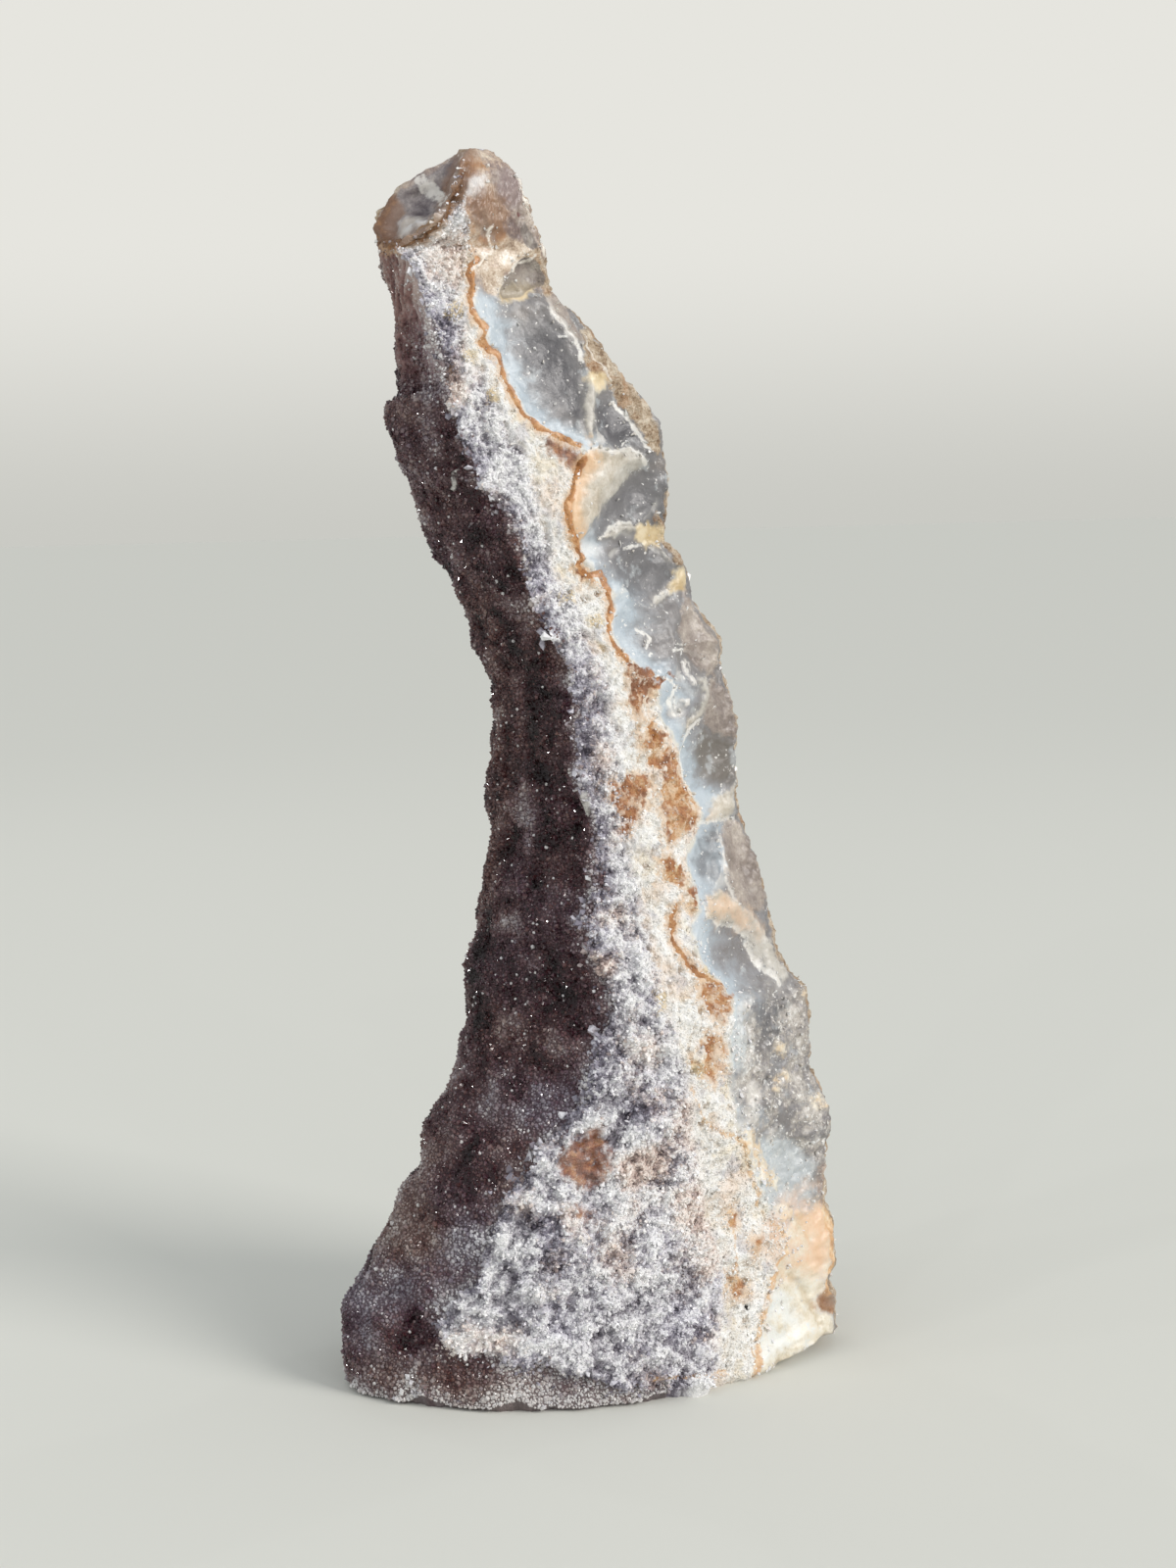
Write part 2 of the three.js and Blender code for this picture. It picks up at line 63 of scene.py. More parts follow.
# z, xL, yL, xR, yR, xC, yC, bulge, back
STATIONS = np.array([
  [0, -61.9, -20.4, -46.2, -37.5, 58.5, -7.6, 19, 38],
  [5, -62.9, -20, -45.1, -37.3, 58.8, -6.8, 18.5, 37.8],
  [10, -63.8, -19.7, -43.6, -37, 59, -5.2, 18, 37.5],
  [15, -63.4, -18.4, -41.5, -36.8, 57.8, -4.1, 17.2, 37.2],
  [20, -62.2, -16.9, -38.8, -36.5, 59.4, -3, 16.5, 37],
  [25, -58.7, -15.4, -34.9, -36.4, 59.5, -2, 15.8, 36.7],
  [30, -56, -14, -31.1, -36.3, 59.2, -1.1, 15, 36.4],
  [35, -53.3, -12.5, -27.6, -36.1, 57.4, -0.1, 14.5, 36.1],
  [40, -51.2, -11, -26.4, -35.5, 57.2, 0.9, 14, 35.8],
  [45, -49, -9.5, -25.2, -34.9, 58.3, 1.8, 13.5, 35.4],
  [50, -44.6, -8.2, -23.7, -34.2, 58.1, 2.4, 13, 35.1],
  [55, -43.5, -7.1, -18.1, -33.4, 60, 3, 12.5, 34.8],
  [60, -42.4, -6, -13.7, -32.6, 59.1, 3.6, 12, 34.5],
  [65, -39.5, -5, -9.3, -31.7, 57.3, 4.2, 11.4, 34.4],
  [70, -36.5, -3.9, -4.8, -30.8, 54.5, 4.8, 10.8, 34.2],
  [75, -33.5, -3, -1.6, -29.9, 54.7, 5.4, 10.2, 34.1],
  [80, -32.6, -2.2, -0.6, -29, 55, 6, 9.6, 34],
  [85, -31.7, -1.3, 1, -28.2, 54.6, 6.6, 9, 33.9],
  [90, -31, -0.5, 3.5, -27.3, 54.1, 7.2, 8.6, 33.8],
  [95, -30.8, 0.3, 3.2, -26.4, 49.5, 7.7, 8.2, 33.6],
  [100, -30.7, 1, 1.9, -25.8, 47.1, 8.1, 7.8, 33.5],
  [105, -29.3, 1.7, 0.6, -25.1, 45.9, 8.6, 7.4, 33.2],
  [110, -28.2, 2.3, -0.7, -24.6, 45, 9, 7, 32.9],
  [115, -27.1, 3, -1.8, -24.2, 44.1, 9.4, 6.8, 32.7],
  [120, -26.3, 3.4, 0.2, -23.7, 43.1, 9.7, 6.5, 32.4],
  [125, -25.6, 3.9, 1, -23.2, 41.6, 9.8, 6.2, 32.1],
  [130, -24.5, 4.2, 1.3, -22.7, 40, 9.8, 6, 31.8],
  [135, -23.7, 4.4, 2.1, -22.3, 37.8, 9.8, 5.8, 31.6],
  [140, -25.1, 4.6, 1.7, -21.8, 37.5, 9.9, 5.5, 31.3],
  [145, -24.8, 4.9, -0, -21.3, 37.6, 9.9, 5.4, 31],
  [150, -23.7, 5.1, -1, -20.9, 37.8, 10, 5.2, 30.6],
  [155, -23.4, 5.4, -1.6, -20.4, 38.1, 10, 5.1, 30.1],
  [160, -22.8, 5.4, -1.9, -20.1, 37, 9.7, 5, 29.7],
  [165, -21.8, 5.3, -2.2, -19.9, 35.8, 9.4, 4.9, 29.2],
  [170, -22, 5.2, -2.6, -19.9, 34.5, 9.1, 4.8, 28.8],
  [175, -24.5, 4.9, -3.1, -19.9, 33.7, 8.8, 4.6, 28.3],
  [180, -27.6, 4.6, -6.6, -20, 34, 8.4, 4.5, 27.9],
  [185, -27, 4.2, -8, -20.1, 30, 8.1, 4.5, 27.4],
  [190, -29.4, 3.9, -10.2, -20.3, 27.3, 7.8, 4.4, 27],
  [195, -32, 3.5, -13, -20.4, 26.4, 7.4, 4.3, 26.3],
  [200, -33.9, 3, -14.5, -20.5, 24.9, 6.9, 4.3, 25.6],
  [205, -36.8, 2.5, -15.5, -20.7, 20.8, 6.4, 4.2, 24.9],
  [210, -38.9, 2, -16.8, -20.8, 20.8, 5.8, 4.2, 24.2],
  [215, -39.7, 1.4, -18.4, -20.9, 21.5, 5.3, 4.2, 23.6],
  [220, -40.4, 0.9, -22.3, -21.1, 21.8, 4.7, 4.1, 22.9],
  [225, -42.4, 0.3, -24.6, -21.4, 20.7, 4.1, 4, 22.2],
  [230, -45, -0.4, -28.1, -21.8, 20.4, 3.5, 4, 21.5],
  [232, -45.6, -0.6, -28.1, -21.9, 20.3, 3.2, 4, 21.1],
  [235, -46.4, -1, -28.3, -22.1, 19.3, 2.8, 3.9, 20.6],
  [236, -46.6, -1.1, -28.7, -22.2, 18.6, 2.7, 3.9, 20.4],
  [238, -47, -1.4, -29.4, -22.3, 17.1, 2.5, 3.8, 20],
  [240, -46.7, -1.6, -30.2, -22.4, 15.6, 2.2, 3.8, 19.7],
  [241.5, -44.5, -1.8, -30.7, -22.3, 14.5, 2, 3.7, 19.4],
  [243, -42.4, -2, -31.1, -22.1, 13.2, 1.8, 3.7, 19.1],
  [245, -42.7, -2.3, -31.2, -21.7, 11.5, 1.6, 3.6, 18.8],
  [248, -43.1, -2.7, -31, -21, 9.1, 1.2, 3.5, 18.2],
  [250, -43.4, -2.9, -31.5, -20.8, 7.6, 1, 3.5, 17.8],
  [254, -43.3, -3.4, -32.6, -20.6, 4.7, 0.5, 3.4, 17.1],
  [258, -43.2, -3.9, -33.6, -20.3, 1.6, -0, 3.3, 16.4],
  [262, -43.6, -4.5, -34.9, -20, -1.7, -0.5, 3.2, 15.6],
  [266, -44.3, -4.8, -36.4, -19.6, -6.2, -1, 3.1, 14.7],
  [270, -45.4, -4.8, -37.7, -18.7, -7.4, -1.4, 3, 13.8],
  [274, -46.5, -4.7, -39.8, -17.8, -7.2, -1.8, 2.8, 12.8],
  [276, -47.1, -4.6, -42.6, -17.3, -7.5, -2, 2.7, 12.4],
  [278, -47.6, -4.5, -37.8, -18.4, -8.2, -2.2, 2.6, 11.9],
  [280, -48.2, -4.4, -34.1, -19, -8.9, -2.5, 2.5, 11.5],
  [281.5, -48.3, -4.2, -32.4, -19.5, -9.3, -2.7, 2.4, 10.8],
  [282, -48.2, -4, -32, -19.4, -9.5, -2.8, 2.4, 10.6],
  [283, -48, -3.7, -31.3, -19.1, -9.8, -3, 2.4, 10.1],
  [285, -46.9, -3.1, -29.7, -18.6, -10.4, -3.3, 2.2, 9.2],
  [286, -46.3, -2.8, -29.3, -18.3, -10.8, -3.4, 2.2, 8.8],
  [288, -45, -2.4, -28.3, -17.8, -11.4, -3.6, 2.1, 7.8],
  [290, -43.7, -1.9, -27.6, -16.7, -12.1, -3.7, 2, 6.9],
  [291, -43.1, -1.7, -27.3, -16.1, -12.5, -3.7, 1.9, 6.5],
  [294, -37.4, -1.8, -26.5, -14.1, -13.7, -3.8, 1.4, 4.2],
  [296.5, -32.8, -1.9, -25.7, -12.2, -15.7, -3.9, 1.1, 2.1],
  [298, -30.2, -1.9, -25, -10.4, -18, -3.9, 0.9, 0.8],
  [298.5, -29.2, -1.9, -24.7, -9.8, -18.6, -3.9, 0.8, 0.3],
  [300, -26.4, -2, -24.2, -8.7, -20.4, -4, 0.6, -1],], dtype=float)

DRUSE_SWELL = np.array([
    (0, 4), (40, 4), (100, 3), (180, 2.2), (240, 1.8), (262, 1.5), (274, 1.0),
    (282, -3.0), (290, -4.0), (296, -1.5), (300, 0.1)], dtype=float)

FLAKES = [
    (-10.4, 248.7, 24.5, 10.4, -59, 3.4), (10.2, 234.9, 11.0, 6.0, -62, 2.0),
    (11.6, 216.1, 11.0, 6.5, 52, 2.4), (16.4, 196.1, 9.6, 6.3, -48, 2.0),
    (14.0, 182.1, 11.9, 7.6, -60, 1.8), (28.1, 180.0, 5.8, 10.2, -8, 1.9),
    (34.3, 167.3, 3.7, 9.3, 8, 1.5), (30.3, 150.9, 8.3, 14.6, -4, 3.4),
    (27.8, 128.1, 5.3, 10.6, 4, 2.0), (38.3, 127.0, 5.2, 11.3, 14, 1.8),
    (35.9, 102.4, 12.2, 8.8, -48, 3.0), (45.4, 83.4, 8.3, 10.3, 0, 1.5),
    (46.6, 53.0, 8.8, 14.2, 6, 2.0), (47.3, 25.0, 9.8, 12.7, 10, 1.6),
    (44.5, 10.2, 10.2, 8.3, 0, 1.5), (58.3, 11.0, 2.7, 3.7, 0, 2.4),
    (-10.9, 270.3, 4.3, 5.5, 30, 1.6)]
BACK_FLAKES = [
    (8, 205, 26, 13, 60, 3.5), (-14, 172, 18, 11, 75, 2.8), (14, 150, 20, 16, 20, 3.2),
    (-2, 108, 26, 18, -30, 4.0), (30, 92, 20, 15, 60, 3.0), (-30, 58, 24, 16, 50, 3.5),
    (18, 42, 30, 18, 10, 4.0), (-24, 225, 18, 10, 80, 2.6), (-20, 262, 14, 9, 70, 2.0)]

# ---- features of the front face, in front elevation (x, z) ----------------------------
POLYS = {
    'iron': [
        [[10.3,177.5],[13.9,175.9],[17.0,174.2],[20.9,172.0],[19.4,169.3],[16.9,168.1],[14.8,164.9],[15.5,161.8],[13.5,160.7],[11.9,163.2],[10.5,166.9],[11.6,170.4],[10.2,173.3]],
        [[12.2,159.0],[15.9,159.6],[19.5,157.3],[21.9,152.8],[23.5,147.8],[24.2,142.9],[21.6,142.0],[19.2,145.9],[17.4,149.7],[14.5,152.4],[12.6,154.9]],
        [[3.5,147.4],[9.6,149.7],[14.4,147.6],[16.2,144.4],[14.2,140.6],[10.5,137.9],[9.2,134.8],[7.3,137.3],[6.5,141.3],[4.7,144.5]],
        [[18.0,146.0],[24.2,145.7],[27.1,140.0],[27.3,135.2],[23.9,133.4],[21.3,131.9],[19.5,130.5],[17.9,134.3],[17.1,139.1]],
        [[16.5,128.1],[19.2,128.9],[21.1,126.7],[23.6,124.0],[23.5,120.9],[20.5,121.4],[17.6,123.7]],
        [[23.5,120.5],[26.0,120.5],[27.4,117.9],[24.8,114.7],[23.1,117.6]],
        [[25.7,98.1],[31.4,95.7],[35.1,93.7],[33.3,90.2],[31.4,86.5],[27.8,90.0],[25.2,94.1]],
        [[25.7,86.3],[30.9,84.0],[33.0,79.6],[31.6,75.2],[28.8,72.6],[25.9,76.2],[21.8,78.9],[22.6,80.4],[26.1,81.3]],
        [[35.9,58.2],[38.4,57.9],[37.3,54.8],[36.1,55.1]],
        [[32.0,41.7],[34.5,40.4],[34.1,36.9],[31.9,38.4]],
        [[36.8,34.0],[40.7,33.7],[39.7,30.1],[37.4,30.0]],
        [[30.8,26.1],[34.2,24.6],[37.0,22.7],[35.4,19.8],[32.1,20.1]],
        [[54.3,12.7],[57.2,13.6],[59.0,10.0],[58.7,7.2],[56.0,8.1],[54.5,10.9]],
        [[-1.1,198.5],[1.3,199.6],[3.9,198.1],[2.7,195.8],[-0.2,195.4]],
    ],
    'rust': [
        [[-8.9,58.8],[-7.4,61.5],[-4.5,63.7],[-1.6,65.0],[1.2,65.4],[1.8,60.8],[1.7,56.2],[-0.1,52.8],[-2.9,51.3],[-5.7,51.9],[-7.5,54.7]],
        [[-5.6,47.7],[-3.5,47.6],[-3.1,45.3],[-5.0,45.0]],
        [[-8.2,230.2],[-3.8,229.7],[0.9,228.5],[3.0,226.1],[1.4,222.6],[-1.0,220.3],[-4.0,223.2],[-6.9,226.0],[-9.0,227.9]],
    ],
    'gold': [
        [[22.8,197.7],[24.6,198.8],[26.5,196.0],[25.8,193.2],[23.4,191.9],[21.7,192.9],[22.7,195.3]],
        [[-26.6,251.4],[-23.6,251.7],[-22.8,249.4],[-24.6,248.0],[-26.7,248.9]],
        [[-30.5,261.8],[-27.3,262.8],[-26.4,260.0],[-28.3,258.1],[-30.3,259.1]],
        [[-17.6,266.9],[-13.5,268.0],[-10.0,267.5],[-10.5,265.5],[-14.0,264.4],[-17.2,264.5]],
        [[-20.9,241.9],[-18.6,242.1],[-19.1,239.6],[-20.9,239.1]],
        [[13.2,209.8],[16.9,210.0],[20.4,208.7],[20.4,206.2],[19.0,203.9],[15.3,204.0],[13.1,205.3]],
        [[3.0,246.8],[5.7,246.9],[7.3,244.7],[6.5,242.5],[4.1,242.5],[2.7,244.4]],
        [[17.2,127.3],[19.7,127.9],[21.1,125.8],[23.0,123.6],[22.0,121.9],[19.5,122.2]],
        [[28.3,101.0],[30.3,99.5],[29.2,97.5],[27.7,98.8]],
        [[-5.9,193.5],[-3.1,194.1],[-2.6,191.8],[-5.0,190.9]],
        [[0.6,187.9],[3.9,188.2],[4.7,184.9],[1.9,184.1]],
        [[13.9,97.4],[16.8,96.6],[17.1,92.5],[14.7,92.3]],
        [[23.0,79.2],[25.5,78.4],[26.4,75.9],[23.9,75.8]],
    ],
    'cchip': [
        [[1.3,226.6],[4.4,227.8],[9.2,226.6],[12.4,228.0],[14.8,226.5],[16.0,224.1],[13.9,221.8],[12.2,219.4],[9.0,217.1],[6.5,213.8],[3.3,210.8],[0.8,206.9],[-0.9,203.9],[-1.6,203.9],[-3.2,207.0],[-3.8,211.0],[-3.4,215.7],[-2.2,219.6],[0.0,222.7]],
        [[4.6,206.5],[8.0,209.0],[12.4,209.9],[13.7,208.9],[12.9,207.9],[9.5,207.3],[6.5,206.2]],
        [[19.0,203.9],[21.6,200.7],[22.6,199.2],[20.9,200.0],[19.2,202.4]],
        [[21.7,193.4],[23.2,192.4],[20.6,190.8],[18.3,189.1],[17.5,190.0],[19.4,192.1]],
        [[2.5,247.0],[5.7,246.9],[7.3,244.7],[7.2,242.3],[4.8,241.0],[4.0,237.5],[3.3,229.7],[2.6,229.0],[2.0,234.4],[1.6,239.8]],
        [[28.4,116.8],[31.8,118.8],[36.2,115.0],[41.3,109.2],[43.9,105.7],[46.5,101.0],[49.8,94.4],[47.6,93.0],[44.1,96.5],[41.7,100.9],[40.6,105.3],[36.7,109.5],[32.6,110.6],[28.7,111.5]],
        [[27.5,170.7],[30.9,171.5],[31.3,166.9],[30.6,162.1],[27.2,160.1],[24.5,157.8],[23.8,158.8],[26.2,161.4],[28.8,163.5],[29.5,167.3]],
        [[32.7,140.8],[37.4,143.0],[37.1,135.7],[33.6,134.7],[29.1,135.6],[30.7,138.0]],
    ],
    'taupe': [
        [[33.4,131.1],[35.2,134.4],[37.9,133.9],[40.6,129.2],[43.0,122.3],[44.6,116.4],[45.2,112.3],[43.3,110.6],[39.5,112.0],[36.2,114.6],[34.2,120.5],[33.2,126.4]],
        [[-7.2,265.5],[-5.8,266.2],[-3.5,264.0],[-1.2,259.1],[1.1,255.3],[1.5,252.8],[-0.4,254.2],[-2.7,257.5],[-5.9,260.6],[-7.2,263.7]],
        [[31.4,171.0],[35.9,166.7],[37.8,159.1],[37.5,154.4],[33.6,157.4],[30.3,160.7],[31.0,165.7]],
        [[25.8,193.2],[28.5,185.3],[33.4,179.4],[33.0,170.8],[29.6,172.2],[26.6,176.3],[24.5,182.5],[24.3,188.4]],
        [[-19.0,294.7],[-14.5,295.0],[-11.8,290.1],[-10.7,285.4],[-9.4,279.5],[-8.1,275.8],[-10.9,276.6],[-13.1,281.0],[-14.8,284.8],[-17.5,288.0],[-19.2,291.2]],
    ],
    'peach': [
        [[43.7,37.3],[49.0,36.5],[55.3,36.9],[58.1,33.2],[59.3,29.0],[59.4,20.0],[58.2,15.8],[52.3,19.5],[47.1,24.8],[43.3,29.4],[40.4,33.1]],
        [[33.1,117.1],[37.7,113.1],[41.3,108.7],[43.8,104.6],[42.2,104.3],[38.0,108.5],[33.9,110.8],[30.3,111.9],[29.4,115.4]],
        [[-31.0,247.3],[-27.6,248.5],[-25.8,246.1],[-27.7,243.4],[-30.9,243.4]],
    ],
    'chunk': [
        [[45.8,25.2],[46.1,31.6],[48.5,35.9],[55.3,36.9],[59.6,30.6],[59.4,20.0],[58.2,13.7],[58.9,9.0],[58.6,2.0],[54.6,0.0],[37.6,0.0],[37.9,6.1],[40.8,13.3],[43.0,19.2]],
    ],
    'rind': [
        [[-11.5,273.8],[-10.0,275.5],[-8.1,275.8],[-7.1,273.3],[-6.9,268.0],[-6.1,265.7],[-7.5,265.0],[-8.8,268.3],[-9.9,272.0]],
        [[1.1,255.3],[2.1,257.3],[7.6,252.4],[15.4,242.1],[19.3,235.0],[20.6,231.0],[20.5,226.8],[17.1,229.2],[14.2,234.4],[11.9,238.5],[8.0,243.3],[4.2,246.4],[1.9,248.7]],
        [[18.2,212.8],[23.7,206.6],[26.1,199.2],[23.4,199.4],[21.5,203.1],[19.6,206.0]],
    ],
    'dark': [
        [[-10.1,258.0],[-3.2,254.6],[1.3,243.9],[2.2,234.4],[-1.3,235.5],[-5.9,240.3],[-10.4,247.3],[-13.7,255.5]],
        [[4.7,239.1],[11.9,236.8],[16.6,228.4],[15.2,224.9],[5.7,229.7],[3.6,234.4]],
        [[7.8,217.8],[15.2,222.5],[20.8,220.0],[20.7,210.4],[13.7,210.6],[7.5,208.3],[4.4,207.3]],
        [[11.1,204.7],[17.2,202.0],[23.3,198.2],[18.7,193.6],[13.2,193.9],[9.9,197.6]],
        [[23.9,135.0],[29.1,134.9],[34.4,134.6],[33.4,131.1],[33.1,124.7],[34.5,119.0],[31.8,118.3],[26.7,120.4],[24.3,124.6],[24.2,129.3]],
        [[39.7,92.0],[48.2,91.0],[52.0,83.4],[49.8,76.2],[42.8,77.6],[39.3,85.1]],
        [[-17.6,266.2],[-16.4,269.3],[-13.3,273.0],[-11.7,274.0],[-9.4,273.4],[-8.2,272.1],[-7.6,267.9],[-10.5,266.5],[-13.5,265.1],[-16.5,264.7]],
        [[-13.1,281.0],[-11.7,281.9],[-10.4,279.9],[-8.8,277.0],[-10.5,275.7],[-12.0,277.9]],
    ],
    'kcream': [
        [[-30.5,272.1],[-27.5,276.9],[-25.0,279.4],[-22.4,278.3],[-19.7,277.5],[-16.6,279.0],[-13.2,278.3],[-11.4,277.0],[-9.6,275.3],[-11.4,274.0],[-13.8,272.7],[-16.4,269.5],[-17.9,265.4],[-19.7,265.8],[-21.5,267.2],[-23.1,269.5],[-24.4,271.8],[-27.1,270.3]],
    ],
    'plum': [
        [[-18.5,294.7],[-15.1,295.2],[-12.9,292.5],[-11.8,287.5],[-13.5,284.9],[-17.1,285.7],[-19.0,289.0]],
    ],
    'milk_and_highlight': [
        # the patch low in the pocket is a painted highlight; the second patch is the white stone beside the pocket
        [[-42.8,284.2],[-40.4,286.0],[-36.9,284.7],[-34.1,281.3],[-35.5,278.8],[-39.0,278.4],[-42.5,280.2]],
        [[-25.6,292.2],[-20.6,292.5],[-20.2,287.7],[-23.4,286.6],[-25.6,287.9]],
    ],
    'pocket': [
        [[-48.2,280.0],[-48.0,283.0],[-46.0,287.0],[-43.4,291.0],[-41.2,292.0],[-38.8,293.0],[-37.0,294.0],[-35.6,294.7],[-31.9,297.0],[-28.2,299.0],[-26.2,298.4],[-26.5,295.4],[-27.4,291.8],[-28.8,287.9],[-31.3,284.6],[-34.2,281.9],[-37.4,279.9],[-40.6,278.6],[-44.9,278.0],[-47.7,279.1]],
    ],
    'brown': [
        [[55.7,12.9],[57.8,14.0],[58.7,11.0],[58.9,7.0],[56.5,7.5],[55.0,10.7]],
        [[-23.8,288.2],[-19.7,290.2],[-16.3,288.1],[-15.8,283.1],[-17.3,279.4],[-20.5,278.8],[-23.1,281.2],[-24.3,284.7]],
        # this band inside the near rim of the pocket is brown rim colour darkened as painted shadow
        [[-34.5,287.5],[-33.1,291.3],[-31.1,294.6],[-28.8,298.0],[-25.8,300.0],[-22.9,300.0],[-22.8,294.8],[-24.7,289.8],[-27.0,285.5],[-30.3,282.3],[-32.7,283.1]],
        [[-47.6,278.0],[-48.3,283.0],[-46.0,287.0],[-44.1,290.0],[-41.3,288.1],[-40.8,285.5],[-42.8,284.2],[-42.7,279.7],[-44.1,277.3]],
    ],
    'smoke': [
        [[-17.6,266.2],[-16.4,269.3],[-13.3,273.0],[-11.7,274.0],[-9.4,273.4],[-8.2,272.1],[-7.6,267.9],[-10.5,266.5],[-13.5,265.1],[-16.5,264.7]],
        [[-13.3,281.0],[-12.2,282.1],[-10.6,279.9],[-8.8,276.7],[-9.8,275.5],[-11.6,276.6],[-12.9,278.5]],
    ],
    'olive': [
        [[-18.6,264.7],[-17.6,266.6],[-14.8,267.9],[-11.1,268.2],[-8.1,267.6],[-8.4,265.4],[-11.2,264.3],[-15.8,263.6]],
    ],
    'amber': [
        [[-25.2,287.4],[-22.9,289.9],[-19.7,289.7],[-18.4,286.5],[-17.2,283.0],[-16.9,278.5],[-18.4,275.3],[-21.1,274.7],[-23.3,277.8],[-24.9,281.1],[-25.7,284.7]],
        [[-28.6,279.3],[-25.4,280.3],[-23.8,277.8],[-25.2,275.1],[-28.0,276.0]],
        [[-26.5,294.8],[-22.8,296.3],[-20.1,295.1],[-21.9,292.9],[-25.6,291.7]],
        [[53.2,12.6],[55.8,14.5],[58.6,14.6],[59.2,11.0],[58.9,7.0],[56.7,6.2],[53.9,9.3]],
    ],
    'smoky': [
        [[29.4,156.2],[32.3,158.3],[37.5,154.2],[37.4,145.0],[34.6,143.2],[30.4,145.8],[28.7,151.4]],
    ],
    'frost': [
        [[39.8,13.5],[43.0,19.2],[47.3,21.1],[49.6,16.6],[51.2,10.3],[51.0,5.1],[46.7,3.6],[41.4,2.3],[39.0,5.9]],
    ],
    'islands': [
        [[36.0,61.3],[38.5,60.3],[40.7,56.4],[42.2,51.9],[46.6,45.3],[45.7,43.3],[42.1,44.8],[38.8,47.5],[37.1,51.1],[35.6,56.6]],
        [[44.3,39.0],[47.2,39.1],[49.6,37.2],[48.4,35.2],[45.2,35.4]],
        [[44.2,70.8],[47.5,71.9],[49.0,69.1],[47.3,67.3],[44.6,68.4]],
        [[54.2,63.7],[58.1,63.9],[58.8,61.4],[56.2,60.9]],
        [[51.5,90.7],[54.5,90.0],[54.2,89.0],[53.6,87.3]],
        [[44.9,78.5],[47.7,79.2],[49.3,76.8],[47.0,75.5]],
    ],
    'mist': [
        [[40.5,57.0],[46.7,56.9],[53.7,48.6],[55.8,40.4],[52.2,35.2],[46.2,34.3],[41.6,36.5],[39.2,44.5],[38.9,50.7]],
        [[28.2,97.6],[33.2,95.8],[36.4,89.6],[38.1,79.7],[36.4,72.9],[33.5,78.3],[33.2,87.9],[30.5,94.2]],
    ],
    'veil': [
        [[46.5,40.8],[58.0,43.8],[58.6,33.0],[59.4,20.0],[48.9,20.4],[42.7,26.0],[40.4,33.1]],
    ],
    'chips': [
        [[24.6,176.0],[26.6,174.9],[27.0,171.9],[28.0,168.9],[26.4,169.6],[25.0,172.1]],
        [[23.3,166.3],[25.6,166.1],[26.0,164.3],[24.5,164.2]],
        [[-30.5,223.3],[-29.2,223.5],[-29.3,219.1],[-30.5,218.5]],
        [[-38.0,293.6],[-35.8,294.7],[-33.3,292.1],[-31.5,289.0],[-35.1,289.3],[-37.5,291.0]],
        [[-34.1,289.0],[-29.8,287.2],[-30.8,285.9],[-33.5,287.3]],
        [[-2.4,145.1],[-0.7,146.2],[0.8,142.4],[-0.2,139.9],[-2.0,142.2]],
    ],
}
